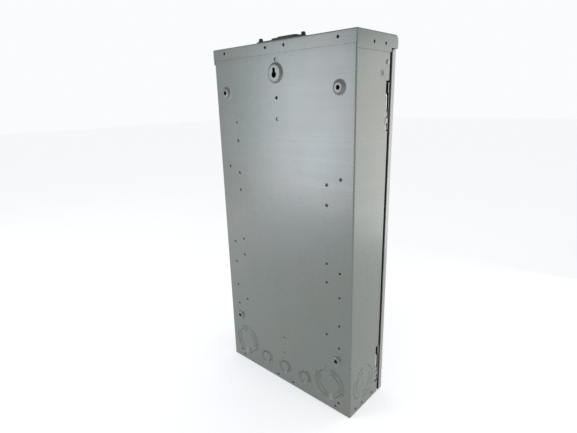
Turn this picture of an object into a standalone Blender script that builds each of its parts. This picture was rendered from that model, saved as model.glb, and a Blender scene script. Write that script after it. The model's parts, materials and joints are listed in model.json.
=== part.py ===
"""Outdoor breaker panel box: a rain-proof sheet steel enclosure with its door, hinges, latch and interior.

The box stands on its bottom end. Its back, the side that goes against the wall, faces +Y, and its door
faces -Y. The hinges are on the -X side. Z is up. Sizes in this file are in millimetres, and the helpers
that place geometry turn them into metres.
"""

import math

import bmesh
import bpy
from mathutils import Matrix, Vector

MM = 0.001

# Enclosure
SHEET = 1.5
FIT = 0.3
CAP_HALF_W = 182.8
BOX_HALF_W = CAP_HALF_W - SHEET - FIT
CAP_TOP = 750.0
BOX_TOP = CAP_TOP - SHEET - FIT
BACK_Y = 65.0
FRONT_EDGE_Y = -45.5
DOOR_EDGE_Y = -48.5
DOOR_FACE_Y = -62.0
HOOD_Y = -70.0
DOOR_BOTTOM = 0.6
DOOR_TOP = 725.5
LIP = 22.0
BEND_RADIUS = 2.5
ENDWALL_HEIGHT = 16.0
RAIL_Z = (690.0, 745.0)
RAIL_SCREW_Y = -36.0
RAIL_SCREW_Z = 703.0
THREADED_HOLE_RADIUS = 2.4
CLEAR_HOLE_RADIUS = 2.6

# Rain cap
CAP_SIDE_EDGE = 720.0
CAP_REAR_EDGE = 728.0
HOOD_EDGE = 727.0
HOOD_RADIUS = 10.0
HOOD_CUT_Y = FRONT_EDGE_Y + 0.7
HUB_X = 3.0
HUB_Y = 3.5
HUB_HOLE_RADIUS = 38.0
HUB_HALF = (63.0, 47.5)
HUB_SCREW_INSET = 8.0
HUB_GASKET_TOP = CAP_TOP + 1.5
HUB_PLATE_TOP = HUB_GASKET_TOP + 3.0
HUB_DOME_TOP = CAP_TOP + 11.0

# Stand-off bosses on the back, pressed outwards so that the box hangs clear of the wall
STANDOFF = 5.0
WALL_BOSSES = [(side * 147.5, z) for z in (661.0, 125.0) for side in (-1, 1)]
WALL_BOSS_RADII = (12.5, 8.5)
WALL_HOLE_RADIUS = 3.6
KEYHOLE_Z = 693.0
KEYHOLE_BOSS_RADII = (18.5, 14.0)
KEYHOLE_RADIUS = 6.0
KEYHOLE_SLOT_RADIUS = 3.4
KEYHOLE_LIFT = 10.0

# Punched fixing holes in the back (x, z) and in each side (y, z)
FIXING_RADIUS = 2.0
FIXING_SIDES = 6
CENTRE_FIXINGS = [(0.0, z) for z in (718.0, 648.0, 608.0, 118.0, 78.0)]
INNER_FIXINGS = [(side * 121.0, z) for side in (-1, 1) for z in (490.0, 451.0, 333.0, 293.0, 176.0)]
OUTER_FIXINGS = [(side * 152.0, z) for side in (-1, 1) for z in (503.0, 320.0, 268.0, 206.0, 155.0)]
EXTRA_FIXINGS = [(120.0, 600.0), (120.0, 561.0)]
FOOT_FIXINGS = [(side * x, z) for side in (-1, 1) for x, z in ((144.0, 9.8), (152.0, 21.8), (23.5, 8.1))]
SIDE_FIXINGS = [(43.0, 10.0), (19.0, 10.0), (-21.0, 10.0)]
CAP_REAR_FIXINGS = [(side * x, 740.0) for side in (-1, 1) for x in (145.0, 24.0)]
CAP_SIDE_FIXINGS = [(15.0, 733.0), (-24.0, 733.0)]

# Knockouts: outlines pressed into the sheet
GROOVE_WIDTH = 1.2
GROOVE_DEPTH = 0.6
KNOCKOUT_STEPS = 18
LARGE_KNOCKOUT = 37.0
SMALL_KNOCKOUT = 17.5
REAR_LARGE_KNOCKOUTS = [(side * 128.0, 59.0) for side in (-1, 1)]
REAR_SMALL_KNOCKOUTS = [(x, 42.0) for x in (-60.0, 0.0, 60.0)]
SIDE_KNOCKOUT = (16.0, 60.0)

# Hinges: a stack of three knuckles with a handle slot above it
HINGE_X = 3.95 - BOX_HALF_W
HINGE_Y = -41.0
HINGE_BASES = {"upper": 583.0, "lower": 31.0}
KNUCKLE_RADIUS = 3.4
KNUCKLE_BORE = 2.35
PIN_RADIUS = 2.0
BOX_KNUCKLES = ((0.0, 10.0), (24.0, 34.0))
DOOR_KNUCKLE = (11.0, 23.0)
NOTCH_HEIGHT = 89.0
NOTCH_BACK_Y = -33.0
HANDLE_GAP = 6.0

# Latch on the door, opposite the hinges
LATCH_X = BOX_HALF_W - 25.5
LATCH_Z = 363.0
CAM_REACH = 20.0
CAM_Y = (-55.2, -53.2)
KEEPER_X = (BOX_HALF_W - 3.2, BOX_HALF_W - 1.5)
KEEPER_Y = -57.5
KEEPER_HALF_H = 18.0
LATCH_HOLE_RADIUS = 5.4
LATCH_SHAFT_RADIUS = 4.9

# Interior
PAN_Z = (150.0, 655.0)
PAN_Y = 49.0
BASE_Z = (192.0, 470.0)
TERMINAL_PITCH = 20.0
WIRE_HOLE_RADIUS = 2.6
SPACE_PITCH = 25.4
SPACES_PER_SIDE = 10
SPACES_BOTTOM = 196.0
BREAKERS_PER_SIDE = 4
BREAKER_WIDTH = 25.0
HANDLE_PIVOT = (44.0, -33.0)
HANDLE_TILT = math.radians(18.0)
MAIN_Z = (480.0, 620.0)
MAIN_PIVOT = (550.0, -32.0)
DEADFRONT_HALF_W = 172.0
DEADFRONT_Z = (24.0, 700.0)
DEADFRONT_Y = -47.3
DEADFRONT_SHEET = 1.2
WINDOW_X = (20.0, 68.0)


def clear_scene():
    for obj in list(bpy.data.objects):
        bpy.data.objects.remove(obj)


def make_collection(name):
    collection = bpy.data.collections.new(name)
    bpy.context.scene.collection.children.link(collection)
    return collection


def finish(name, colour, roughness, metallic):
    """A plain Principled material; colour is linear RGB."""
    material = bpy.data.materials.new(name)
    material.use_nodes = True
    shader = material.node_tree.nodes["Principled BSDF"]
    shader.inputs["Base Color"].default_value = (*colour, 1.0)
    shader.inputs["Roughness"].default_value = roughness
    shader.inputs["Metallic"].default_value = metallic
    return material


def put(name, bm, centre, material, cutter=False):
    """Turn a bmesh in millimetres round its own origin into an object in metres at centre."""
    bmesh.ops.recalc_face_normals(bm, faces=bm.faces)
    bmesh.ops.scale(bm, vec=(MM, MM, MM), verts=bm.verts)
    mesh = bpy.data.meshes.new(name)
    bm.to_mesh(mesh)
    bm.free()
    obj = bpy.data.objects.new(name, mesh)
    obj.location = Vector(centre) * MM
    if cutter:
        cutters.objects.link(obj)
        obj.hide_render = True
        obj.display_type = "WIRE"
    else:
        parts.objects.link(obj)
        obj.data.materials.append(material)
    return obj


def span_centre(*spans):
    return [(low + high) / 2 for low, high in spans]


def add_block(bm, x, y, z, origin=(0.0, 0.0, 0.0)):
    """Add a block between the planes x, y and z, seen from origin."""
    centre = Vector(span_centre(x, y, z)) - Vector(origin)
    size = [high - low for low, high in (x, y, z)]
    matrix = Matrix.Translation(centre) @ Matrix.Diagonal((*size, 1.0))
    bmesh.ops.create_cube(bm, size=1.0, matrix=matrix)


def add_rod(bm, radius, length, centre, axis="Z", segments=12, tip=None):
    """Add a capped cylinder, or a frustum when tip is the radius of its far end."""
    turn = {
        "Z": Matrix.Identity(4),
        "Y": Matrix.Rotation(-math.pi / 2, 4, "X"),
        "X": Matrix.Rotation(math.pi / 2, 4, "Y"),
    }[axis]
    bmesh.ops.create_cone(
        bm,
        cap_ends=True,
        segments=segments,
        radius1=radius,
        radius2=radius if tip is None else tip,
        depth=length,
        matrix=Matrix.Translation(Vector(centre)) @ turn,
    )


def block(name, x, y, z, material):
    bm = bmesh.new()
    centre = span_centre(x, y, z)
    add_block(bm, x, y, z, centre)
    return put(name, bm, centre, material)


def add_ring(bm, radius, width, depth, centre, normal):
    """Add a square-section ring round normal, for a pressed outline."""
    along = Vector(normal)
    out = along.orthogonal().normalized()
    corners = []
    for r, h in ((-1, -1), (1, -1), (1, 1), (-1, 1)):
        point = Vector(centre) + out * (radius + r * width / 2) + along * (h * depth)
        corners.append(bm.verts.new(point))
    edges = [bm.edges.new((corners[i], corners[(i + 1) % 4])) for i in range(4)]
    bmesh.ops.spin(
        bm,
        geom=corners + edges,
        cent=centre,
        axis=along,
        angle=math.tau,
        steps=KNOCKOUT_STEPS,
        use_merge=True,
    )


def boolean(obj, cutter, operation):
    modifier = obj.modifiers.new(cutter.name, "BOOLEAN")
    modifier.operation = operation
    modifier.solver = "EXACT"
    modifier.object = cutter


def cut(obj, name, fill):
    """Cut obj with the shapes that fill adds to a fresh bmesh."""
    bm = bmesh.new()
    fill(bm)
    boolean(obj, put(name, bm, (0.0, 0.0, 0.0), None, cutter=True), "DIFFERENCE")


def join(obj, name, fill):
    """Join to obj the shapes that fill adds to a fresh bmesh."""
    bm = bmesh.new()
    fill(bm)
    boolean(obj, put(name, bm, (0.0, 0.0, 0.0), None, cutter=True), "UNION")


def tray(name, x, y, z, open_side, material, thickness=SHEET, round_edge=None):
    """A folded sheet tray: a box without its open side, thickened inwards."""
    bm = bmesh.new()
    centre = span_centre(x, y, z)
    add_block(bm, x, y, z, centre)
    outward = Vector(open_side)
    bm.normal_update()
    lids = [face for face in bm.faces if face.normal.dot(outward) > 0.9]
    bmesh.ops.delete(bm, geom=lids, context="FACES_ONLY")
    if round_edge:
        direction, radius = round_edge
        edge = max(bm.edges, key=lambda e: sum((v.co for v in e.verts), Vector()).dot(Vector(direction)))
        bmesh.ops.bevel(
            bm, geom=[edge], offset=radius, segments=4, profile=0.5, affect="EDGES", material=-1
        )
    obj = put_open(name, bm, centre, material)
    solidify(obj, thickness)
    return obj


def put_open(name, bm, centre, material):
    """As put, for an open surface whose faces already point the right way."""
    bmesh.ops.scale(bm, vec=(MM, MM, MM), verts=bm.verts)
    mesh = bpy.data.meshes.new(name)
    bm.to_mesh(mesh)
    bm.free()
    obj = bpy.data.objects.new(name, mesh)
    obj.location = Vector(centre) * MM
    obj.data.materials.append(material)
    parts.objects.link(obj)
    return obj


def solidify(obj, thickness, offset=-1.0):
    modifier = obj.modifiers.new("Sheet thickness", "SOLIDIFY")
    modifier.thickness = thickness * MM
    modifier.offset = offset
    modifier.use_even_offset = True
    modifier.use_quality_normals = True


def bend_path(points, radius, steps=3):
    """Round the inner corners of an open path in the plane."""
    path = [Vector(points[0])]
    for before, corner, after in zip(points, points[1:], points[2:]):
        corner = Vector(corner)
        back = (Vector(before) - corner).normalized()
        ahead = (Vector(after) - corner).normalized()
        half = back.angle(ahead) / 2
        centre = corner + (back + ahead).normalized() * (radius / math.sin(half))
        start = corner + back * (radius / math.tan(half)) - centre
        end = corner + ahead * (radius / math.tan(half)) - centre
        for step in range(steps + 1):
            path.append(centre + start.slerp(end, step / steps).normalized() * radius)
    path.append(Vector(points[-1]))
    return path


def folded_sheet(name, points, z, thickness, material, radius):
    """A sheet bent along an open path of (x, y) points; its thickness lies to the right of the path."""
    bm = bmesh.new()
    path = bend_path(points, radius)
    verts = [bm.verts.new((point.x, point.y, z[0])) for point in path]
    edges = [bm.edges.new(pair) for pair in zip(verts, verts[1:])]
    raised = bmesh.ops.extrude_edge_only(bm, edges=edges)
    moved = [item for item in raised["geom"] if isinstance(item, bmesh.types.BMVert)]
    bmesh.ops.translate(bm, vec=(0.0, 0.0, z[1] - z[0]), verts=moved)
    obj = put_open(name, bm, (0.0, 0.0, 0.0), material)
    solidify(obj, thickness)
    return obj


def outline_solid(name, points, low, high, axis, material):
    """A closed outline, extruded from low to high along axis ("X" or "Z"), as a mesh object."""
    curve = bpy.data.curves.new(name, "CURVE")
    curve.dimensions = "2D"
    curve.fill_mode = "BOTH"
    curve.extrude = (high - low) / 2 * MM
    spline = curve.splines.new("POLY")
    spline.points.add(len(points) - 1)
    for target, (u, v) in zip(spline.points, points):
        target.co = (u * MM, v * MM, 0.0, 1.0)
    spline.use_cyclic_u = True
    holder = bpy.data.objects.new(name, curve)
    middle = (low + high) / 2 * MM
    if axis == "Z":
        holder.location = (0.0, 0.0, middle)
    else:
        holder.rotation_euler = (math.pi / 2, 0.0, math.pi / 2)
        holder.location = (middle, 0.0, 0.0)
    return curve_to_mesh(holder, name, material)


def curve_to_mesh(holder, name, material):
    parts.objects.link(holder)
    depsgraph = bpy.context.evaluated_depsgraph_get()
    depsgraph.update()
    mesh = bpy.data.meshes.new_from_object(holder.evaluated_get(depsgraph))
    bm = bmesh.new()
    bm.from_mesh(mesh)
    bmesh.ops.remove_doubles(bm, verts=bm.verts, dist=0.00001)
    bmesh.ops.recalc_face_normals(bm, faces=bm.faces)
    bm.to_mesh(mesh)
    bm.free()
    obj = bpy.data.objects.new(name + "_solid", mesh)
    obj.matrix_world = holder.matrix_world.copy()
    parts.objects.link(obj)
    bpy.data.objects.remove(holder)
    obj.name = name
    obj.data.materials.clear()
    obj.data.materials.append(material)
    return obj


def hang_on(empty, *objects):
    for obj in objects:
        bpy.context.view_layer.update()
        world = obj.matrix_world.copy()
        obj.parent = empty
        obj.matrix_parent_inverse = empty.matrix_world.inverted()
        obj.matrix_world = world


def add_empty(name, point):
    empty = bpy.data.objects.new(name, None)
    empty.location = Vector(point) * MM
    empty.empty_display_size = 0.02
    parts.objects.link(empty)
    bpy.context.view_layer.update()
    return empty


def screw(name, centre, radius, height, axis, material, shank=None):
    """A screw: a head with a shank below it, its origin under the head. Axis points out of the head."""
    sign = -1.0 if axis.startswith("-") else 1.0
    letter = axis[-1]
    unit = Vector({"X": (1, 0, 0), "Y": (0, 1, 0), "Z": (0, 0, 1)}[letter]) * sign
    bm = bmesh.new()
    add_rod(bm, radius, height, unit * height / 2, letter)
    obj = put(name, bm, centre, material)
    if shank:
        shank_radius, length = shank

        def fill(bm):
            middle = Vector(centre) - unit * (length / 2 - height / 2)
            add_rod(bm, shank_radius, length + height / 2, middle, letter, segments=8)

        join(obj, name + "_shank", fill)


# ---- enclosure -----------------------------------------------------------------------------------


def make_box_wrap():
    """The back, both sides and the front lips, folded from one sheet and punched."""
    x, y = BOX_HALF_W, FRONT_EDGE_Y
    path = [(LIP - x, y), (-x, y), (-x, BACK_Y), (x, BACK_Y), (x, y), (x - LIP, y)]
    wrap = folded_sheet("box_wrap", path, (0.0, BOX_TOP), SHEET, paint, BEND_RADIUS)
    bosses = [(bx, bz, WALL_BOSS_RADII) for bx, bz in WALL_BOSSES]
    bosses.append((0.0, KEYHOLE_Z, KEYHOLE_BOSS_RADII))
    middle = BACK_Y + STANDOFF / 2

    def raise_bosses(bm):
        for bx, bz, (foot, face) in bosses:
            reach = STANDOFF + SHEET / 2
            slope = (foot - face) / STANDOFF
            add_rod(bm, foot + slope * SHEET / 2, reach, (bx, middle - SHEET / 4, bz), "Y", 16, face)

    def hollow_bosses(bm):
        for bx, bz, (foot, face) in bosses:
            slope = (foot - face) / STANDOFF
            depth = STANDOFF + SHEET
            centre = (bx, middle - SHEET - SHEET / 2, bz)
            add_rod(bm, foot - SHEET + slope * SHEET, depth, centre, "Y", 16, face - SHEET)

    def punch(bm):
        for hx, hz in WALL_BOSSES:
            add_rod(bm, WALL_HOLE_RADIUS, 20.0, (hx, BACK_Y, hz), "Y", 12)
        fixings = CENTRE_FIXINGS + INNER_FIXINGS + OUTER_FIXINGS + EXTRA_FIXINGS + FOOT_FIXINGS
        for hx, hz in fixings:
            add_rod(bm, FIXING_RADIUS, 6.0, (hx, BACK_Y, hz), "Y", FIXING_SIDES)
        for side in (-1, 1):
            for hy, hz in SIDE_FIXINGS:
                add_rod(bm, FIXING_RADIUS, 6.0, (side * x, hy, hz), "X", FIXING_SIDES)
            add_rod(bm, THREADED_HOLE_RADIUS, 6.0, (side * x, RAIL_SCREW_Y, RAIL_SCREW_Z), "X", 8)
        for hx, hz in deadfront_screws():
            add_rod(bm, THREADED_HOLE_RADIUS, 6.0, (hx, y, hz), "Y", 8)

    def keyhole_bulb(bm):
        add_rod(bm, KEYHOLE_RADIUS, 20.0, (0.0, BACK_Y, KEYHOLE_Z - 3.0), "Y", 16)

    def keyhole_slot(bm):
        width = (-KEYHOLE_SLOT_RADIUS, KEYHOLE_SLOT_RADIUS)
        add_block(bm, width, (BACK_Y - 10, BACK_Y + 10), (KEYHOLE_Z - 3.0, KEYHOLE_Z + KEYHOLE_LIFT))

    def press_knockouts(bm):
        for kx, kz in REAR_LARGE_KNOCKOUTS:
            add_ring(bm, LARGE_KNOCKOUT, GROOVE_WIDTH, GROOVE_DEPTH, (kx, BACK_Y, kz), (0, 1, 0))
        for kx, kz in REAR_SMALL_KNOCKOUTS:
            add_ring(bm, SMALL_KNOCKOUT, GROOVE_WIDTH, GROOVE_DEPTH, (kx, BACK_Y, kz), (0, 1, 0))
        ky, kz = SIDE_KNOCKOUT
        for side in (-1, 1):
            add_ring(bm, LARGE_KNOCKOUT, GROOVE_WIDTH, GROOVE_DEPTH, (side * x, ky, kz), (side, 0, 0))

    def notch_hinges(bm):
        for base in HINGE_BASES.values():
            add_block(
                bm,
                (-x - 5.0, HINGE_X + 8.0),
                (y - 5.0, NOTCH_BACK_Y),
                (base - 1.0, base + NOTCH_HEIGHT),
            )

    cut(wrap, "hinge_notches", notch_hinges)
    join(wrap, "boss_blanks", raise_bosses)
    cut(wrap, "boss_hollows", hollow_bosses)
    cut(wrap, "punched_holes", punch)
    cut(wrap, "keyhole_bulb", keyhole_bulb)
    cut(wrap, "keyhole_slot", keyhole_slot)
    cut(wrap, "knockout_outlines", press_knockouts)


def make_rain_cap():
    """The top end and drip hood: a lid over the box, with the service hub opening."""
    rear_y = BACK_Y + FIT + SHEET
    cap = tray(
        "rain_cap",
        (-CAP_HALF_W, CAP_HALF_W),
        (HOOD_Y, rear_y),
        (CAP_SIDE_EDGE, CAP_TOP),
        (0, 0, -1),
        paint,
        round_edge=((0, -1, 1), HOOD_RADIUS),
    )

    def trim(bm):
        wide = (-CAP_HALF_W - 5, CAP_HALF_W + 5)
        add_block(bm, wide, (rear_y - SHEET - FIT, rear_y + 5), (CAP_SIDE_EDGE - 5, CAP_REAR_EDGE))
        add_block(bm, wide, (HOOD_Y - 5, HOOD_CUT_Y), (CAP_SIDE_EDGE - 5, HOOD_EDGE))

    def punch(bm):
        add_rod(bm, HUB_HOLE_RADIUS, 10.0, (HUB_X, HUB_Y, CAP_TOP), "Z", 24)
        for hx, hz in CAP_REAR_FIXINGS:
            add_rod(bm, FIXING_RADIUS, 6.0, (hx, rear_y, hz), "Y", FIXING_SIDES)
        for side in (-1, 1):
            for hy, hz in CAP_SIDE_FIXINGS:
                add_rod(bm, FIXING_RADIUS, 6.0, (side * CAP_HALF_W, hy, hz), "X", FIXING_SIDES)
        for sx, sy in hub_screw_places():
            add_rod(bm, CLEAR_HOLE_RADIUS, 10.0, (sx, sy, CAP_TOP), "Z", 8)

    cut(cap, "cap_trim", trim)
    cut(cap, "cap_holes", punch)


def make_bottom_endwall():
    """The bottom end: a tray whose flanges are riveted inside the box."""
    inset = SHEET + 2 * FIT
    inner = BOX_HALF_W - inset
    tray(
        "bottom_endwall",
        (-inner, inner),
        (FRONT_EDGE_Y + inset, BACK_Y - inset),
        (0.0, ENDWALL_HEIGHT),
        (0, 0, 1),
        paint,
    )


def make_top_rail():
    """The cross rail that closes the front above the cover, with its two screws."""
    half = BOX_HALF_W - SHEET - FIT
    y = FRONT_EDGE_Y + SHEET + FIT
    path = [(half, y + 16.0), (half, y), (-half, y), (-half, y + 16.0)]
    rail = folded_sheet("top_rail", path, RAIL_Z, SHEET, paint, BEND_RADIUS)

    def punch(bm):
        for side in (-1, 1):
            add_rod(bm, THREADED_HOLE_RADIUS, 12.0, (side * half, RAIL_SCREW_Y, RAIL_SCREW_Z), "X", 8)

    cut(rail, "rail_holes", punch)
    for side, label, axis in ((-1, "left", "-X"), (1, "right", "X")):
        centre = (side * (BOX_HALF_W + FIT), RAIL_SCREW_Y, RAIL_SCREW_Z)
        screw("rail_screw_" + label, centre, 4.2, 1.5, axis, zinc, shank=(2.0, 6.0))


# ---- hub closure ---------------------------------------------------------------------------------


def hub_screw_places():
    reach_x, reach_y = (half - HUB_SCREW_INSET for half in HUB_HALF)
    return [(HUB_X + sx * reach_x, HUB_Y + sy * reach_y) for sy in (-1, 1) for sx in (-1, 1)]


def make_hub_closure():
    """The moulded plate, gasket and screws that close the service hub opening."""
    x = (HUB_X - HUB_HALF[0], HUB_X + HUB_HALF[0])
    y = (HUB_Y - HUB_HALF[1], HUB_Y + HUB_HALF[1])
    gasket = block("hub_gasket", x, y, (CAP_TOP + FIT, HUB_GASKET_TOP), rubber)
    plate = block("hub_closure_plate", x, y, (HUB_GASKET_TOP + FIT, HUB_PLATE_TOP), black_plastic)

    def dome(bm):
        add_block(
            bm,
            (x[0] + 22.0, x[1] - 22.0),
            (y[0] + 8.0, y[1] - 4.0),
            (HUB_GASKET_TOP + 1.0, HUB_DOME_TOP),
        )

    def screw_holes(bm):
        for sx, sy in hub_screw_places():
            add_rod(bm, CLEAR_HOLE_RADIUS, 20.0, (sx, sy, CAP_TOP), "Z", 8)

    def opening(bm):
        add_rod(bm, HUB_HOLE_RADIUS, 20.0, (HUB_X, HUB_Y, CAP_TOP), "Z", 24)

    join(plate, "hub_dome", dome)
    cut(plate, "hub_plate_holes", screw_holes)
    cut(gasket, "hub_gasket_holes", screw_holes)
    cut(gasket, "hub_gasket_opening", opening)
    for number, (sx, sy) in enumerate(hub_screw_places(), 1):
        centre = (sx, sy, HUB_PLATE_TOP + FIT)
        screw(f"hub_screw_{number}", centre, 5.0, 6.5, "Z", zinc, shank=(2.2, 9.0))


# ---- door, hinges and latch ----------------------------------------------------------------------


def make_door():
    """The door: a shallow tray, with a hole for the latch shaft."""
    door = tray(
        "door",
        (-CAP_HALF_W, CAP_HALF_W),
        (DOOR_FACE_Y, DOOR_EDGE_Y),
        (DOOR_BOTTOM, DOOR_TOP),
        (0, 1, 0),
        paint,
    )

    def punch(bm):
        add_rod(bm, LATCH_HOLE_RADIUS, 10.0, (LATCH_X, DOOR_FACE_Y, LATCH_Z), "Y", 12)

    cut(door, "latch_hole", punch)
    return door


def make_hinge(where, base):
    """One hinge: the box bracket, the door leaf and the lift-out wire pin."""
    barrel_y = HINGE_Y - KNUCKLE_RADIUS - 1.0
    door_low, door_high = (base + height for height in DOOR_KNUCKLE)

    def bore(bm):
        add_rod(bm, KNUCKLE_BORE, 60.0, (HINGE_X, HINGE_Y, base + 17.0), "Z", 12)

    wall_x = -BOX_HALF_W + SHEET + FIT
    plate_x = (wall_x, wall_x + SHEET)
    bottom, top = base - 4.0, base + 38.0
    bracket = block("hinge_bracket_" + where, plate_x, (HINGE_Y, -12.0), (bottom, top), zinc)

    def free_box_knuckles(bm):
        gaps = [(bottom - 5, base), (base + 10.0, base + 24.0), (base + 34.0, top + 5)]
        for gap in gaps:
            add_block(bm, (wall_x - 5, wall_x + 5), (barrel_y, HINGE_Y + 5.0), gap)

    def box_barrels(bm):
        for low, high in BOX_KNUCKLES:
            middle = (HINGE_X, HINGE_Y, base + (low + high) / 2)
            add_rod(bm, KNUCKLE_RADIUS, high - low, middle, "Z", 12)

    cut(bracket, "bracket_gaps_" + where, free_box_knuckles)
    join(bracket, "bracket_barrels_" + where, box_barrels)
    cut(bracket, "bracket_bore_" + where, bore)

    leaf_x = (HINGE_X - KNUCKLE_RADIUS + 0.4, HINGE_X - KNUCKLE_RADIUS + 0.4 + SHEET)
    door_inner = DOOR_FACE_Y + SHEET + FIT
    bottom, top = base, base + 86.0
    leaf = block("hinge_leaf_" + where, leaf_x, (door_inner + 0.5, HINGE_Y), (bottom, top), zinc)

    def free_door_knuckle(bm):
        for gap in ((bottom - 5, door_low), (door_high, top + 5)):
            add_block(bm, (leaf_x[0] - 5, leaf_x[1] + 5), (HINGE_Y - 5.0, HINGE_Y + 5.0), gap)

    def door_barrel(bm):
        middle = (HINGE_X, HINGE_Y, (door_low + door_high) / 2)
        add_rod(bm, KNUCKLE_RADIUS, door_high - door_low, middle, "Z", 12)

    def foot(bm):
        reach = (leaf_x[0] + 0.5, leaf_x[0] + 18.0)
        add_block(bm, reach, (door_inner, door_inner + SHEET), (bottom + 1, top - 1))

    cut(leaf, "leaf_gaps_" + where, free_door_knuckle)
    join(leaf, "leaf_barrel_" + where, door_barrel)
    cut(leaf, "leaf_bore_" + where, bore)
    join(leaf, "leaf_foot_" + where, foot)
    make_hinge_pin(where, base)
    return leaf


def make_hinge_pin(where, base):
    """A bent wire: the pin itself, a loop to pull it by, and an end that rests on the bracket."""
    curve = bpy.data.curves.new("hinge_pin_" + where, "CURVE")
    curve.dimensions = "3D"
    curve.bevel_depth = PIN_RADIUS * MM
    curve.bevel_resolution = 2
    curve.use_fill_caps = True
    points = [(HINGE_Y, base - 3.0)]
    turn_radius = HANDLE_GAP / 2
    turn_z = base + 62.0
    for step in range(7):
        angle = math.pi * step / 6
        y = HINGE_Y + turn_radius - turn_radius * math.cos(angle)
        points.append((y, turn_z + turn_radius * math.sin(angle)))
    points.append((HINGE_Y + HANDLE_GAP, base + 38.0 + FIT))
    spline = curve.splines.new("POLY")
    spline.points.add(len(points) - 1)
    for target, (y, z) in zip(spline.points, points):
        target.co = (0.0, (y - HINGE_Y) * MM, (z - base) * MM, 1.0)
    holder = bpy.data.objects.new("hinge_pin_" + where, curve)
    holder.location = (HINGE_X * MM, HINGE_Y * MM, base * MM)
    bpy.context.view_layer.update()
    curve_to_mesh(holder, "hinge_pin_" + where, zinc)


def make_latch():
    """A quarter-turn latch: knob and cam on the door, and the keeper on the box lip."""
    knob = block(
        "latch_knob",
        (LATCH_X - 6.0, LATCH_X + 6.0),
        (HOOD_Y + 0.5, DOOR_FACE_Y - FIT - 1.0),
        (LATCH_Z - 19.0, LATCH_Z + 19.0),
        black_plastic,
    )

    def shaft(bm):
        front = HOOD_Y + 3.0
        back = CAM_Y[0] - FIT
        add_rod(bm, LATCH_SHAFT_RADIUS, back - front, (LATCH_X, (front + back) / 2, LATCH_Z), "Y", 12)

    join(knob, "latch_shaft", shaft)
    cam = block(
        "latch_cam",
        (LATCH_X - 7.0, LATCH_X + 7.0),
        CAM_Y,
        (LATCH_Z - 8.0, LATCH_Z + CAM_REACH),
        zinc,
    )
    foot_y = FRONT_EDGE_Y - FIT
    height = (LATCH_Z - KEEPER_HALF_H, LATCH_Z + KEEPER_HALF_H)
    keeper = block("latch_keeper", KEEPER_X, (KEEPER_Y, foot_y), height, zinc)
    inside = KEEPER_X[1] - 1.0

    def keeper_foot(bm):
        add_block(bm, (inside - 5.0, inside), (foot_y - SHEET, foot_y), height)

    def keeper_catch(bm):
        add_block(bm, (inside - 10.0, inside), (KEEPER_Y, KEEPER_Y + SHEET), height)

    join(keeper, "keeper_foot", keeper_foot)
    join(keeper, "keeper_catch", keeper_catch)
    return [knob, cam]


# ---- interior ------------------------------------------------------------------------------------


def space_z(row):
    """The middle height of a breaker space; row 0 is the top one."""
    return SPACES_BOTTOM + SPACE_PITCH * (SPACES_PER_SIDE - 0.5 - row)


def make_interior_pan():
    foot_y = BACK_Y - 2 * SHEET - FIT
    half = [(130.0, foot_y), (112.0, foot_y), (112.0, PAN_Y)]
    path = half + [(-x, y) for x, y in reversed(half)]
    folded_sheet("interior_pan", path, PAN_Z, SHEET, galvanised, BEND_RADIUS)


def make_moulded_base():
    """The insulator under the bus bars, with the rails that the breakers hook on."""
    back = PAN_Y - FIT
    right = [
        (46.0, 34.0), (46.0, 46.3), (81.0, 46.3), (81.0, 20.0), (76.0, 20.0), (76.0, 17.5),
        (83.5, 17.5), (83.5, 46.3), (108.0, 46.3), (108.0, back),
    ]
    left = [(-x, y) for x, y in reversed(right)]
    outline_solid("moulded_base", right + left, *BASE_Z, "Z", base_plastic)


def make_bus_bars():
    """Two upright bars whose arms cross the middle in turn, so that rows alternate between them."""
    for first_row, side, label in ((0, -1, "a"), (1, 1, "b")):
        near, far = side * 8.0, side * 24.0
        bar_x = (min(near, far), max(near, far))
        bar = block("bus_bar_" + label, bar_x, (30.5, 33.5), (198.0, 500.0), tin)
        rows = range(first_row, SPACES_PER_SIDE, 2)

        def risers(bm, side=side, rows=rows):
            for row in rows:
                z = space_z(row)
                span = sorted((side * 24.0, side * 16.0))
                add_block(bm, span, (29.0, 32.0), (z - 5.0, z + 5.0))

        def arms(bm, side=side, rows=rows):
            for row in rows:
                z = space_z(row)
                span = sorted((side * 24.0, -side * 14.0))
                add_block(bm, span, (27.0, 30.1), (z - 5.0, z + 5.0))

        def stabs(bm, rows=rows):
            for row in rows:
                z = space_z(row)
                add_block(bm, (-14.0, 14.0), (20.0, 28.0), (z - 1.1, z + 1.1))

        join(bar, "risers_" + label, risers)
        join(bar, "arms_" + label, arms)
        join(bar, "stabs_" + label, stabs)


def make_terminal_bar(name, x, y, z):
    """A terminal bar with a row of wire holes across it."""
    bar = block(name, x, y, z, aluminium)
    middle = sum(y) / 2
    count = int((z[1] - z[0]) // TERMINAL_PITCH)

    def wire_holes(bm):
        for number in range(count):
            height = z[0] + TERMINAL_PITCH * (number + 0.5)
            add_rod(bm, WIRE_HOLE_RADIUS, 30.0, (sum(x) / 2, middle, height), "X", 8)

    cut(bar, name + "_wires", wire_holes)


def make_terminals():
    for side, label in ((-1, "left"), (1, "right")):
        x = sorted((side * 92.0, side * 104.0))
        make_terminal_bar("neutral_bar_" + label, x, (36.0, 46.0), (172.0, 450.0))
        x = sorted((side * 146.0, side * 158.0))
        y = (51.0, BACK_Y - SHEET - FIT)
        make_terminal_bar("ground_bar_" + label, x, y, (150.0, 325.0))
    block("neutral_strap", (-104.0, 104.0), (46.3, 48.3), (172.0, 188.0), tin)
    make_lug("neutral_lug", (88.0, 108.0), (22.0, 44.0), (453.0, 478.0))
    for side, label in ((-1, "left"), (1, "right")):
        x = sorted((side * 12.0, side * 34.0))
        make_lug("line_lug_" + label, x, (4.0, 28.0), (MAIN_Z[1] + FIT, MAIN_Z[1] + 26.0))


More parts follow.
